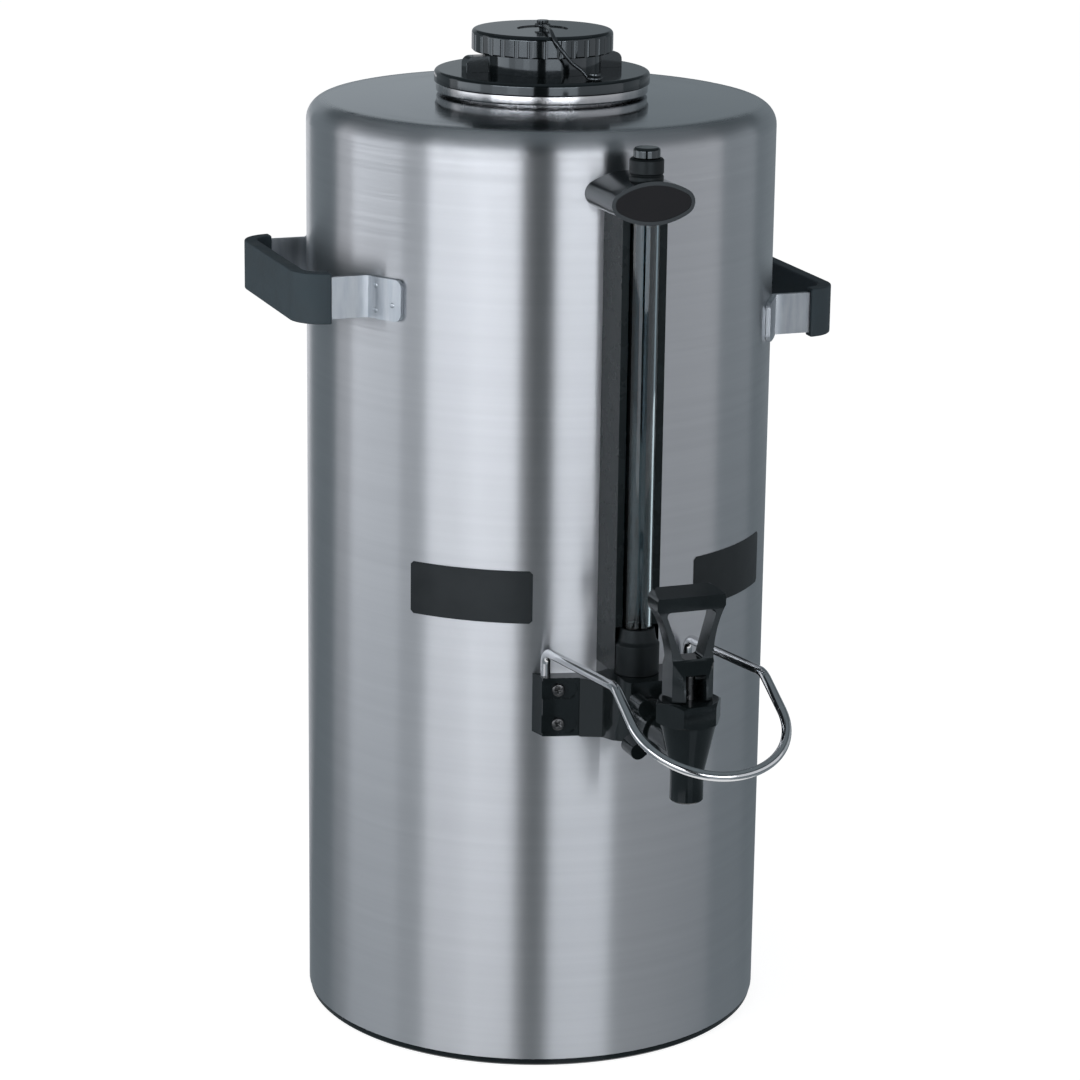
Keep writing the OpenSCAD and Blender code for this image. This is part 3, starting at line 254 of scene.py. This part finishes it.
def moulded_plastic(name, colour, roughness, grain, specular):
    """Moulded plastic or rubber with a fine grain and slightly uneven gloss."""
    material, tree, shader = new_material(name, colour, roughness)
    flow = object_noise(tree, FLOW, detail=4.0)
    pores = object_noise(tree, PORES, detail=2.0)
    lighter = tuple(FLOW_TONE * c for c in colour)
    gloss = spread(tree, flow, roughness * FLOW_SHINY, roughness * FLOW_DULL)
    tree.links.new(gloss, shader.inputs["Roughness"])
    tree.links.new(tint(tree, flow, colour, lighter), shader.inputs["Base Color"])
    shader.inputs["Specular IOR Level"].default_value = specular
    shader.inputs["Specular Tint"].default_value = REFLECTED_TONE
    bump(tree, shader, pores, grain)
    return material


# The gauge's glass, with faint smears

GLASS_COLOUR = (0.50, 0.61, 0.66)
GLASS_ROUGHNESS = 0.02
GLASS_IOR = 1.47
SMEAR = (160, 160, 40)
SMEAR_DULL = 0.05


def gauge_glass():
    """Clear borosilicate tube with a cool cast."""
    material, tree, shader = new_material("gauge_glass", GLASS_COLOUR, GLASS_ROUGHNESS)
    smear = object_noise(tree, SMEAR, detail=3.0)
    tree.links.new(spread(tree, smear, 0.0, SMEAR_DULL), shader.inputs["Roughness"])
    shader.inputs["Transmission Weight"].default_value = 1.0
    shader.inputs["IOR"].default_value = GLASS_IOR
    return material


# Sheets: name, roughness, stretch of the reflections, and for the top its flat roughness and where that ends
STEEL = brushed_steel("brushed_steel", 0.33, 1.0)
TOP_STEEL = brushed_steel("top_steel", 0.33, 1.0, 0.08, BODY_R - 16 * MM, BODY_R - 5 * MM)
LINER_STEEL = brushed_steel("liner_steel", 0.30, 0.5)
MILL_STEEL = mill_steel()
# Polished metals: name, roughness, brightness
POLISHED = polished_steel("polished_steel", 0.09, 0.67)
COLLAR_STEEL = polished_steel("collar_steel", 0.20, 0.44)
ZINC = polished_steel("dark_zinc", 0.28, 0.09)
# Plastics and rubbers: name, colour, roughness, depth of the grain, strength of reflections
GLOSS = moulded_plastic("black_gloss", (0.004, 0.0055, 0.006), 0.09, 0.0012 * MM, 0.8)
SATIN = moulded_plastic("black_satin", (0.006, 0.0082, 0.0088), 0.13, 0.002 * MM, 0.42)
DULL = moulded_plastic("dull_plastic", (0.010, 0.0135, 0.0145), 0.26, 0.0012 * MM, 0.10)
MATTE = moulded_plastic("black_matte", (0.005, 0.0066, 0.0072), 0.42, 0.012 * MM, 0.22)
PANEL = moulded_plastic("panel_vinyl", (0.0075, 0.0085, 0.009), 0.35, 0.006 * MM, 0.4)
GRIP = moulded_plastic("grip_rubber", (0.024, 0.035, 0.042), 0.62, 0.03 * MM, 0.45)
RUBBER = moulded_plastic("seal_rubber", (0.020, 0.021, 0.022), 0.70, 0.03 * MM, 0.35)
CUP_RUBBER = moulded_plastic("cup_rubber", (0.190, 0.130, 0.085), 0.65, 0.03 * MM, 0.35)
STRAP = moulded_plastic("strap_plastic", (0.010, 0.011, 0.012), 0.26, 0.006 * MM, 1.0)
BADGE = moulded_plastic("badge_insert", (0.0052, 0.0030, 0.0034), 0.05, 0.0006 * MM, 0.3)
GLASS = gauge_glass()

# Finish of each solid that shows itself, and the rounding of its edges in millimetres
FINISH = {
    "base_pan": (SATIN, 0.3), "shell_wall": (STEEL, 0), "shell_top": (TOP_STEEL, 0),
    "liner_wall": (LINER_STEEL, 0), "liner_floor": (LINER_STEEL, 0), "liner_top": (LINER_STEEL, 0),
    "jacket_bottom": (LINER_STEEL, 0), "outlet_tube": (LINER_STEEL, 0),
    "lid_gasket": (RUBBER, 0), "lid_ring": (GLOSS, 0.4), "cap_gasket": (RUBBER, 0),
    "screw_cap": (GLOSS, 0.25), "tether_anchor": (GLOSS, 0.2),
    "gauge_shield": (DULL, 0.4), "gauge_tube": (GLASS, 0.2), "gauge_boss": (GLOSS, 0.5),
    "badge_insert": (BADGE, 0.2), "gauge_sleeve": (MATTE, 0.25), "gauge_cap": (GLOSS, 0.25),
    "gauge_collar": (MATTE, 0.3), "gauge_seal_lower": (RUBBER, 0), "gauge_seal_upper": (RUBBER, 0),
    "faucet_bracket": (SATIN, 0.5), "guard_wire": (POLISHED, 0), "faucet_shank": (SATIN, 0.2),
    "shank_gasket": (RUBBER, 0.2), "hand_nut": (SATIN, 0.6), "faucet_body": (SATIN, 0.4),
    "faucet_bonnet": (SATIN, 0.4), "valve_stem": (ZINC, 0.2), "seat_cup": (CUP_RUBBER, 0.2),
    "handle_pin": (POLISHED, 0.25), "faucet_handle": (SATIN, 0.6),
    "handle_bracket_left": (MILL_STEEL, 0.4), "handle_bracket_right": (MILL_STEEL, 0.4),
    "handle_grip_left": (GRIP, 0.9), "handle_grip_right": (GRIP, 0.9),
}

# Rounding of edges: gap that is welded, angle under which faces are one, angle over which an edge is sharp
WELD_GAP = 0.002 * MM
FLAT_ANGLE = math.radians(0.3)
SHARP_ANGLE = math.radians(32)
ROUNDING_STEPS = 3
SHADING_WEIGHT = 80


def soften(piece, width):
    """Joins the mesh's split edges and rounds its sharp ones, in modifiers only."""
    normals = piece.data.attributes.get("custom_normal")
    if normals:
        piece.data.attributes.remove(normals)
    piece.data.shade_smooth()
    weld = piece.modifiers.new("weld", "WELD")
    weld.merge_threshold = WELD_GAP
    flat = piece.modifiers.new("flat_faces", "DECIMATE")
    flat.decimate_type = "DISSOLVE"
    flat.angle_limit = FLAT_ANGLE
    rounding = piece.modifiers.new("rounding", "BEVEL")
    rounding.width = width * MM
    rounding.segments = ROUNDING_STEPS
    rounding.limit_method = "ANGLE"
    rounding.angle_limit = SHARP_ANGLE
    rounding.use_clamp_overlap = True
    rounding.miter_outer = "MITER_ARC"
    shading = piece.modifiers.new("shading", "WEIGHTED_NORMAL")
    shading.keep_sharp = True
    shading.weight = SHADING_WEIGHT


def dress(piece, material):
    """Gives the piece one material."""
    piece.data.materials.clear()
    piece.data.materials.append(material)


for name, (material, width) in FINISH.items():
    dress(nodes[name], material)
    if width:
        soften(nodes[name], width)


# Mesh helpers

# Edges of a smooth piece that turn more than this stay sharp
CREASE = math.radians(40)


def new_object(name, mesh):
    """An object from a finished mesh, in the scene."""
    data = bpy.data.meshes.new(name)
    mesh.to_mesh(data)
    mesh.free()
    made = bpy.data.objects.new(name, data)
    bpy.context.scene.collection.objects.link(made)
    return made


def mesh_piece(name, mesh, material, body):
    """A smooth piece from a finished mesh, riding on a body if one is named."""
    piece = new_object(name, mesh)
    piece.data.shade_smooth()
    dress(piece, material)
    if body:
        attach(piece, body)
    return piece


def full_turn(steps):
    """Angles of equal steps round a circle."""
    return [2 * math.pi * k / steps for k in range(steps)]


def add_grid(mesh, rows, closed_rows=False, closed_columns=True):
    """Faces between rows of points, closed round each row or from the last row to the first if asked."""
    made = [[mesh.verts.new(p) for p in row] for row in rows]
    count = len(rows[0])
    last_row = len(rows) if closed_rows else len(rows) - 1
    last_column = count if closed_columns else count - 1
    for i in range(last_row):
        for k in range(last_column):
            a, b = made[i], made[(i + 1) % len(rows)]
            mesh.faces.new((a[k], a[(k + 1) % count], b[(k + 1) % count], b[k]))
    return made


def close_ends(mesh, made):
    """Faces over the first and the last row of a grid."""
    mesh.faces.new(list(reversed(made[0])))
    mesh.faces.new(made[-1])


def add_tube(mesh, path, radius, sides, side_way):
    """A round tube with closed ends along a path, kept square to a side direction."""
    rings = []
    last = len(path) - 1
    for i, point in enumerate(path):
        along = (path[min(i + 1, last)] - path[max(i - 1, 0)]).normalized()
        up = along.cross(side_way).normalized()
        side = up.cross(along)
        rings.append([point + radius * (math.cos(a) * side + math.sin(a) * up) for a in full_turn(sides)])
    close_ends(mesh, add_grid(mesh, rings))


def add_turned(mesh, profile, sides, centre):
    """A closed profile of radii and heights, turned about the Z axis through its centre."""
    rows = []
    for a in full_turn(sides):
        rows.append([centre + Vector((r * math.cos(a), r * math.sin(a), z)) for r, z in profile])
    add_grid(mesh, rows, closed_rows=True)


def corner(r, z, radius, start, steps):
    """Points of a quarter round about (r, z), from the start angle in degrees."""
    turns = [math.radians(start + 90 * k / steps) for k in range(steps + 1)]
    return [(r + radius * math.cos(a), z + radius * math.sin(a)) for a in turns]


# The strap from the cap's post to the pin on the lid's flange

POST_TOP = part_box("screw_cap")[1].z
POST_H = 4.2 * MM
POST_HEAD = 1.4 * MM
EYE_PLAY = 0.3 * MM
EYE_T = 1.6 * MM
EYE_BORE = 2.1 * MM
EYE_R = 4.0 * MM
EYE_ROUND = 0.5 * MM
EYE_STEPS = 3
EYE_SIDES = 40
STRAP_R = 1.0 * MM
STRAP_SIDES = 14
ROUTE_STEPS = 8
CAP_TOP = POST_TOP - POST_H
EYE_LOW_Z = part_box("tether")[0].z
PIN = (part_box("tether_anchor")[0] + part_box("tether_anchor")[1]) / 2
TOP_EYE = Vector((0, 0, POST_TOP - POST_HEAD - EYE_PLAY - EYE_T / 2))
LOW_EYE = Vector((PIN.x, PIN.y, EYE_LOW_Z + EYE_T / 2))
STRAP_ROUTE = [
    TOP_EYE + Vector((-0.7 * MM, -3.4 * MM, 0)),
    Vector((-4 * MM, -18 * MM, CAP_TOP + 2.6 * MM)),
    Vector((-7 * MM, -31 * MM, CAP_TOP + 2.4 * MM)),
    Vector((-8 * MM, -39 * MM, CAP_TOP - 0.5 * MM)),
    Vector((-5 * MM, -42 * MM, CAP_TOP - 6 * MM)),
    Vector((0, -42.5 * MM, CAP_TOP - 12 * MM)),
    Vector((5 * MM, -43 * MM, EYE_LOW_Z + 4.5 * MM)),
    LOW_EYE + Vector((-2.6 * MM, 2.4 * MM, 0)),
]


def curve_points(route, steps):
    """Points on the smooth curve through a route."""
    points = []
    last = len(route) - 1
    for i in range(last):
        a, b, c, d = route[max(i - 1, 0)], route[i], route[i + 1], route[min(i + 2, last)]
        for k in range(steps):
            t = k / steps
            points.append(0.5 * (2 * b + (c - a) * t + (2 * a - 5 * b + 4 * c - d) * t ** 2
                                 + (3 * b - a - 3 * c + d) * t ** 3))
    points.append(route[last])
    return points


def add_eye(mesh, centre):
    """A flat eye with rounded edges, round the Z axis through its centre."""
    middle = (EYE_BORE + EYE_R) / 2
    half_w = (EYE_R - EYE_BORE) / 2 - EYE_ROUND
    half_t = EYE_T / 2 - EYE_ROUND
    profile = []
    for i, (x, z) in enumerate(((1, 1), (-1, 1), (-1, -1), (1, -1))):
        profile += corner(middle + x * half_w, z * half_t, EYE_ROUND, 90 * i, EYE_STEPS)
    add_turned(mesh, profile, EYE_SIDES, centre)


def strap_piece():
    mesh = bmesh.new()
    add_tube(mesh, curve_points(STRAP_ROUTE, ROUTE_STEPS), STRAP_R, STRAP_SIDES, Vector((1, 0, 0)))
    for centre in (TOP_EYE, LOW_EYE):
        add_eye(mesh, centre)
    piece = mesh_piece("tether_strap", mesh, STRAP, None)
    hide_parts("tether")
    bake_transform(piece)


strap_piece()


# The band round the neck, whose lower edge turns under towards the neck

COLLAR_LOW, COLLAR_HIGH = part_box("neck_collar")
COLLAR_R = COLLAR_HIGH.x
COLLAR_TOP = COLLAR_HIGH.z
COLLAR_BASE = COLLAR_LOW.z
COLLAR_BORE = COLLAR_R - 6.7 * MM
COLLAR_WAIST = COLLAR_R - 6.0 * MM
COLLAR_BAND = 4.7 * MM
COLLAR_SLOPE = 0.3 * MM
COLLAR_ROLL = 0.9 * MM
COLLAR_EDGE = 0.5 * MM
COLLAR_SIDES = 144
COLLAR_STEPS = 6


def collar_piece():
    roll_z = COLLAR_TOP - COLLAR_BAND
    profile = [(COLLAR_BORE, COLLAR_BASE + COLLAR_SLOPE), (COLLAR_WAIST, COLLAR_BASE), (COLLAR_WAIST, roll_z)]
    profile += corner(COLLAR_R - COLLAR_ROLL, roll_z + COLLAR_ROLL, COLLAR_ROLL, -90, COLLAR_STEPS)
    profile += corner(COLLAR_R - COLLAR_EDGE, COLLAR_TOP - COLLAR_EDGE, COLLAR_EDGE, 0, COLLAR_STEPS)
    profile.append((COLLAR_BORE, COLLAR_TOP))
    mesh = bmesh.new()
    add_turned(mesh, profile, COLLAR_SIDES, Vector((0, 0, 0)))
    bmesh.ops.recalc_face_normals(mesh, faces=mesh.faces)
    piece = mesh_piece("neck_collar_band", mesh, COLLAR_STEEL, "server")
    piece.data.set_sharp_from_angle(angle=CREASE)
    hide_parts("neck_collar")


collar_piece()


# Plain panels on the wall, left bare: from and to in degrees about the axis, lower and upper edge

PANEL_TURNS = (-51.6, -21.0), (21.0, 51.6)
PANEL_LOW = 237 * MM
PANEL_HIGH = 264 * MM
PANEL_T = 0.15 * MM
PANEL_CORNER = 1.5 * MM
PANEL_STEPS = 40


def add_panel(mesh, start, end):
    """A thin sheet with rounded corners, bent round the wall."""
    half_w = BODY_R * math.radians(end - start) / 2
    half_h = (PANEL_HIGH - PANEL_LOW) / 2
    middle = math.radians((start + end) / 2)
    middle_z = (PANEL_LOW + PANEL_HIGH) / 2
    rows = []
    for i in range(PANEL_STEPS + 1):
        along = half_w * (2 * i / PANEL_STEPS - 1)
        short = max(PANEL_CORNER - (half_w - abs(along)), 0)
        cut = PANEL_CORNER - math.sqrt(max(PANEL_CORNER ** 2 - short ** 2, 0))
        a = middle + along / BODY_R
        row = []
        for r, z in ((0, -1), (1, -1), (1, 1), (0, 1)):
            radius = BODY_R + PANEL_T * r
            row.append((radius * math.sin(a), -radius * math.cos(a), middle_z + z * (half_h - cut)))
        rows.append(row)
    close_ends(mesh, add_grid(mesh, rows))


def panel_pieces():
    mesh = bmesh.new()
    for start, end in PANEL_TURNS:
        add_panel(mesh, start, end)
    bmesh.ops.recalc_face_normals(mesh, faces=mesh.faces)
    piece = mesh_piece("blank_panels", mesh, PANEL, "server")
    piece.data.set_sharp_from_angle(angle=CREASE)


panel_pieces()


# The bracket's screws, with cross recesses

HEAD_R = 3.2 * MM
HEAD_T = 2.0 * MM
HEAD_CROWN = 0.5 * MM
HEAD_SIDE = HEAD_T - 0.75 * MM
HEAD_STEPS = 48
HEAD_POINT = 0.0001 * MM
HEAD_RINGS = [0.4 * MM, 0.8 * MM, 1.2 * MM, 1.6 * MM, 1.9 * MM, 2.3 * MM, 2.7 * MM, HEAD_R - 0.15 * MM]
RECESS_R = 1.75 * MM
RECESS_DEPTH = 1.1 * MM
RECESS_EDGE = 0.25 * MM
SLOT_HALF = 0.42 * MM
SCREW_X = 33.2 * MM
WING_R = BODY_R + 8.5 * MM
SCREW_SEAT_R = WING_R - 1.2 * MM
SCREW_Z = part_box("bracket_screws")[0].z + HEAD_R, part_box("bracket_screws")[1].z - HEAD_R
# Turn of the lower screws' crosses and how much further the upper ones are turned, in radians
CROSS_TURN = 0.4
CROSS_STEP = 0.5
# Points of a head that are closer than this are joined
MERGE_GAP = 0.001 * MM


def head_height(x, y, r):
    """Height of the head's domed face, less the cross recess."""
    dome = HEAD_T - HEAD_CROWN * (r / HEAD_R) ** 2
    if min(abs(x), abs(y)) < SLOT_HALF and r < RECESS_R:
        return dome - RECESS_DEPTH * (1 - r / RECESS_R) - RECESS_EDGE
    return dome


def screw_head(mesh, place):
    """A domed head with a cross recess, built outwards along the place's Z axis."""
    rows = []
    for r in [HEAD_POINT, *HEAD_RINGS]:
        row = []
        for a in full_turn(HEAD_STEPS):
            x = r * math.cos(a)
            y = r * math.sin(a)
            row.append(place @ Vector((x, y, head_height(x, y, r))))
        rows.append(row)
    for z in (HEAD_SIDE, 0.0):
        turns = full_turn(HEAD_STEPS)
        rows.append([place @ Vector((HEAD_R * math.cos(a), HEAD_R * math.sin(a), z)) for a in turns])
    made = add_grid(mesh, rows)
    mesh.faces.new(list(reversed(made[-1])))


def screw_pieces():
    mesh = bmesh.new()
    turn = math.asin(SCREW_X / WING_R)
    for side in (-1, 1):
        for i, z in enumerate(SCREW_Z):
            seat = Matrix.Rotation(side * turn, 4, "Z") @ Matrix.Translation((0, -SCREW_SEAT_R, z))
            cross = Matrix.Rotation(CROSS_TURN + CROSS_STEP * i + side, 4, "Z")
            screw_head(mesh, seat @ Matrix.Rotation(math.pi / 2, 4, "X") @ cross)
    bmesh.ops.remove_doubles(mesh, verts=mesh.verts, dist=MERGE_GAP)
    bmesh.ops.recalc_face_normals(mesh, faces=mesh.faces)
    piece = mesh_piece("bracket_screw_heads", mesh, ZINC, "server")
    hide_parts("bracket_screws")


screw_pieces()


# The valve's spring as a coil of fixed shape, though in the valve its lower end rises with the seat cup

SPRING_LOW, SPRING_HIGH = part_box("faucet_spring")
SPRING_TURNS = 4
TURN_STEPS = 24
WIRE_R = 0.4 * MM
WIRE_SIDES = 8


def spring_piece():
    middle = (SPRING_LOW + SPRING_HIGH) / 2
    radius = SPRING_HIGH.x - middle.x - WIRE_R
    rise = SPRING_HIGH.z - SPRING_LOW.z - 2 * WIRE_R
    count = TURN_STEPS * SPRING_TURNS
    path = []
    for i in range(count + 1):
        a = 2 * math.pi * SPRING_TURNS * i / count
        z = SPRING_LOW.z + WIRE_R + rise * i / count
        path.append(Vector((middle.x + radius * math.cos(a), middle.y + radius * math.sin(a), z)))
    mesh = bmesh.new()
    add_tube(mesh, path, WIRE_R, WIRE_SIDES, Vector((0, 0, 1)))
    bmesh.ops.recalc_face_normals(mesh, faces=mesh.faces)
    piece = mesh_piece("valve_spring_coil", mesh, POLISHED, None)
    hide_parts("faucet_spring")
    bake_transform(piece)


spring_piece()


# Weld marks on the feet of the handles' straps

FOOT_R = BODY_R + 2.45 * MM
WELD_R = 1.3 * MM
WELD_H = 0.22 * MM
WELD_STEPS = 20
# Shares of the mark's radius and height, from its rim to its middle
WELD_PROFILE = (1.0, -0.5), (1.0, 0.1), (0.92, 0.55), (0.7, 0.85), (0.35, 1.0), (0.01, 1.0)
# Degrees from the handle's middle, and height above it
WELD_PLACES = (28.6, 6.2 * MM), (28.6, -6.2 * MM), (33.6, -2.5 * MM)


def weld_mark(mesh, angle, z):
    """A small round nub on the foot's outer face, at an angle about the axis from +X."""
    foot = Matrix.Rotation(angle, 4, "Z") @ Matrix.Translation((FOOT_R, 0, z))
    place = foot @ Matrix.Rotation(math.pi / 2, 4, "Y")
    rows = []
    for share, h in WELD_PROFILE:
        r = share * WELD_R
        turns = full_turn(WELD_STEPS)
        rows.append([place @ Vector((r * math.cos(a), r * math.sin(a), h * WELD_H)) for a in turns])
    close_ends(mesh, add_grid(mesh, rows))


def weld_marks():
    mesh = bmesh.new()
    for handle, heading in (("handle_bracket_left", math.pi), ("handle_bracket_right", 0.0)):
        low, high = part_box(handle)
        middle = (low.z + high.z) / 2
        for side in (-1, 1):
            for degrees, z in WELD_PLACES:
                weld_mark(mesh, heading + side * math.radians(degrees), middle + z)
    bmesh.ops.recalc_face_normals(mesh, faces=mesh.faces)
    mesh_piece("handle_weld_marks", mesh, MILL_STEEL, "server")


weld_marks()


# The camera's place, turned about the axis from the front and raised above the target

VIEW_AZIMUTH = math.radians(-20.5)
VIEW_ELEVATION = math.radians(15.379)
VIEW_ROLL = math.radians(0.7666)
VIEW_DISTANCE = 1892.05 * MM
VIEW_TARGET = Vector((0, 0, 247.19 * MM))
VIEW_SIDE = 2.178 * MM
LENS = 119.65
SENSOR = 36.0


def photo_camera():
    """The photograph's view: from the front and a little to the left, looking down."""
    level = math.cos(VIEW_ELEVATION)
    back = Vector((math.sin(VIEW_AZIMUTH) * level, -math.cos(VIEW_AZIMUTH) * level, math.sin(VIEW_ELEVATION)))
    right = Vector((math.cos(VIEW_AZIMUTH), math.sin(VIEW_AZIMUTH), 0))
    up = back.cross(right)
    place = VIEW_TARGET + VIEW_SIDE * right + VIEW_DISTANCE * back
    rolled_right = math.cos(VIEW_ROLL) * right + math.sin(VIEW_ROLL) * up
    rolled_up = math.cos(VIEW_ROLL) * up - math.sin(VIEW_ROLL) * right
    data = bpy.data.cameras.new("camera")
    data.lens = LENS
    data.sensor_width = SENSOR
    camera = bpy.data.objects.new("camera", data)
    bpy.context.scene.collection.objects.link(camera)
    turned = Matrix((rolled_right, rolled_up, back)).transposed().to_4x4()
    camera.matrix_world = Matrix.Translation(place) @ turned
    bpy.context.scene.camera = camera


# The studio: world, floor, cards that the steel mirrors, lamps, in metres

WHITE = (1, 1, 1, 1)
FILL_COLOUR = (0.95, 0.98, 1, 1)
FILL_STRENGTH = 0.4
FLOOR_SIZE = 15.0
FLOOR_COLOUR = (0.8, 0.8, 0.8, 1)
# What the camera sees of the floor: a glow that leaves room for the object's shadow, and a diffuse rest
FLOOR_GLOW = 0.84
FLOOR_REST = (0.45, 0.45, 0.45, 1)

# Ring of cards: its radius, about how many degrees a facet spans, and the heights where cards begin and end
CARD_RING = 1.5
CARD_STEP = 4
FLOOR_RING = -1.7
SKIRT = -0.45
CARD_LOW = -0.05
KNEE = 0.12
CARD_MID = 0.4
FRONT_TOP = 0.58
CARD_HIGH = 1.0
CEILING = 2.0
CEILING_BRIGHTNESS = 0.2
CEILING_SIDES = 48

# Cards by lower and upper edge: from and to in degrees to the right of the camera, and brightness
CARDS = {
    (FLOOR_RING, SKIRT): [(-180, 9.5, 0.28), (9.5, 38, 0.5), (38, 180, 0.28)],
    (SKIRT, CARD_LOW): [
        (-180, -150, 0.75), (-150, -104, 0.2), (-104, -53, 0.4), (-53, -3.5, 0.75),
        (-3.5, 9.5, 0.1), (9.5, 38, 0.35), (38, 180, 0.2),
    ],
    (CARD_LOW, KNEE): [(-99, -53, 0.5), (-53, -30, 0.6), (-30, -7, 1.9), (-7, 8.5, 0.03), (8.5, 38, 0.3)],
    (CARD_LOW, CARD_MID): [(-180, -150, 0.95), (125, 180, 0.3)],
    (CARD_LOW, CARD_HIGH): [(-150, -113, 0.28), (-113, -99, 0.9), (38, 95, 0.80), (95, 125, 0.45)],
    (KNEE, CARD_MID): [(-53, -36, 1.75), (-36, -24, 2.3), (-24, -8.5, 1.8), (7.5, 38, 2.3)],
    (KNEE, FRONT_TOP): [(-99, -67, 2.3), (-67, -53, 1.4)],
    (KNEE, CARD_HIGH): [(-8.5, 7.5, 0.02)],
    (CARD_MID, FRONT_TOP): [(-53, -8.5, 8.0), (7.5, 38, 8.0)],
    (CARD_MID, CARD_HIGH): [(-180, -150, 0.38), (125, 180, 0.25)],
    (FRONT_TOP, CARD_HIGH): [(-99, -8.5, 0.4), (7.5, 38, 0.4)],
    (CARD_HIGH, CEILING): [(-180, -8.5, 0.12), (-8.5, 7.5, 0.02), (7.5, 180, 0.12)],
}
# Colours of a dark and of a bright card, and the brightness from which a card has the second
DIM_COLOUR = Vector((0.72, 0.90, 1.0))
BRIGHT_COLOUR = Vector((0.945, 0.96, 1.0))
FULL_BRIGHTNESS = 0.7

# Lamps: name, place, power
LAMPS = [
    ("key_lamp", Vector((-2.1, -0.9, 0.9)), 18),
    ("fill_lamp", Vector((1.6, -1.2, 0.8)), 5),
]
LAMP_TARGET = Vector((0, 0, 0.3))
LAMP_SIZE = 0.9


def empty_tree(owner):
    """The node tree of a material or world, emptied."""
    owner.use_nodes = True
    owner.node_tree.nodes.clear()
    return owner.node_tree


def light_path_mix(tree, first, second):
    """The first shader for camera, mirror and glass rays, and the second for the rest."""
    path = tree.nodes.new("ShaderNodeLightPath")
    either = math_node(tree, "ShaderNodeMath", "MAXIMUM")
    any_of = math_node(tree, "ShaderNodeMath", "MAXIMUM")
    tree.links.new(path.outputs["Is Camera Ray"], either.inputs[0])
    tree.links.new(path.outputs["Is Glossy Ray"], either.inputs[1])
    tree.links.new(either.outputs[0], any_of.inputs[0])
    tree.links.new(path.outputs["Is Transmission Ray"], any_of.inputs[1])
    mix = tree.nodes.new("ShaderNodeMixShader")
    tree.links.new(any_of.outputs[0], mix.inputs["Fac"])
    tree.links.new(second, mix.inputs[1])
    tree.links.new(first, mix.inputs[2])
    return mix.outputs["Shader"]


def studio_world():
    world = bpy.data.worlds.new("studio")
    bpy.context.scene.world = world
    tree = empty_tree(world)
    seen = add_node(tree, "ShaderNodeBackground", Color=WHITE, Strength=1.0)
    fill = add_node(tree, "ShaderNodeBackground", Color=FILL_COLOUR, Strength=FILL_STRENGTH)
    output = tree.nodes.new("ShaderNodeOutputWorld")
    tree.links.new(light_path_mix(tree, seen.outputs[0], fill.outputs[0]), output.inputs["Surface"])


def studio_floor():
    mesh = bmesh.new()
    edges = (-FLOOR_SIZE, FLOOR_SIZE)
    add_grid(mesh, [[(x, y, 0) for x in edges] for y in edges], closed_columns=False)
    floor = new_object("floor", mesh)
    material = bpy.data.materials.new("floor")
    tree = empty_tree(material)
    plain = add_node(tree, "ShaderNodeBsdfDiffuse", Color=FLOOR_COLOUR)
    shaded = add_node(tree, "ShaderNodeBsdfDiffuse", Color=FLOOR_REST)
    glow = add_node(tree, "ShaderNodeEmission", Color=WHITE, Strength=FLOOR_GLOW)
    both = tree.nodes.new("ShaderNodeAddShader")
    output = tree.nodes.new("ShaderNodeOutputMaterial")
    tree.links.new(shaded.outputs[0], both.inputs[0])
    tree.links.new(glow.outputs[0], both.inputs[1])
    tree.links.new(light_path_mix(tree, both.outputs[0], plain.outputs[0]), output.inputs["Surface"])
    dress(floor, material)
    floor.visible_glossy = False


def glowing(name, mesh, brightness):
    """A card from a mesh that only rays mirrored or bent by the object see."""
    piece = new_object(name, mesh)
    material = bpy.data.materials.new(name)
    tree = empty_tree(material)
    colour = DIM_COLOUR.lerp(BRIGHT_COLOUR, min(brightness / FULL_BRIGHTNESS, 1.0))
    glow = add_node(tree, "ShaderNodeEmission", Color=(*colour, 1), Strength=brightness)
    output = tree.nodes.new("ShaderNodeOutputMaterial")
    tree.links.new(glow.outputs[0], output.inputs["Surface"])
    dress(piece, material)
    piece.visible_camera = False
    piece.visible_diffuse = False
    piece.visible_shadow = False


def card_mesh(start, end, low, high):
    """An upright card bent round the object."""
    count = int((end - start) / CARD_STEP)
    turns = [VIEW_AZIMUTH + math.radians(start + (end - start) * i / count) for i in range(count + 1)]
    rows = [[(CARD_RING * math.sin(a), -CARD_RING * math.cos(a), z) for a in turns] for z in (low, high)]
    mesh = bmesh.new()
    add_grid(mesh, rows, closed_columns=False)
    return mesh


def studio_cards():
    cards = [(*edges, *card) for edges, row in CARDS.items() for card in row]
    for i, (low, high, start, end, brightness) in enumerate(cards):
        glowing(f"card_{i}", card_mesh(start, end, low, high), brightness)
    ceiling = bmesh.new()
    bmesh.ops.create_circle(ceiling, cap_ends=True, segments=CEILING_SIDES, radius=CARD_RING,
                            matrix=Matrix.Translation((0, 0, CEILING)))
    glowing("ceiling", ceiling, CEILING_BRIGHTNESS)


def studio_lamps():
    """Soft square lamps aimed at the object, not mirrored by the steel."""
    for name, place, power in LAMPS:
        data = bpy.data.lights.new(name, "AREA")
        data.shape = "SQUARE"
        data.size = LAMP_SIZE
        data.energy = power
        lamp = bpy.data.objects.new(name, data)
        bpy.context.scene.collection.objects.link(lamp)
        lamp.location = place
        lamp.rotation_euler = (LAMP_TARGET - place).to_track_quat("-Z", "Y").to_euler()
        lamp.visible_glossy = False


studio_world()
studio_floor()
studio_cards()
studio_lamps()
photo_camera()
bpy.context.scene.view_settings.view_transform = "Standard"
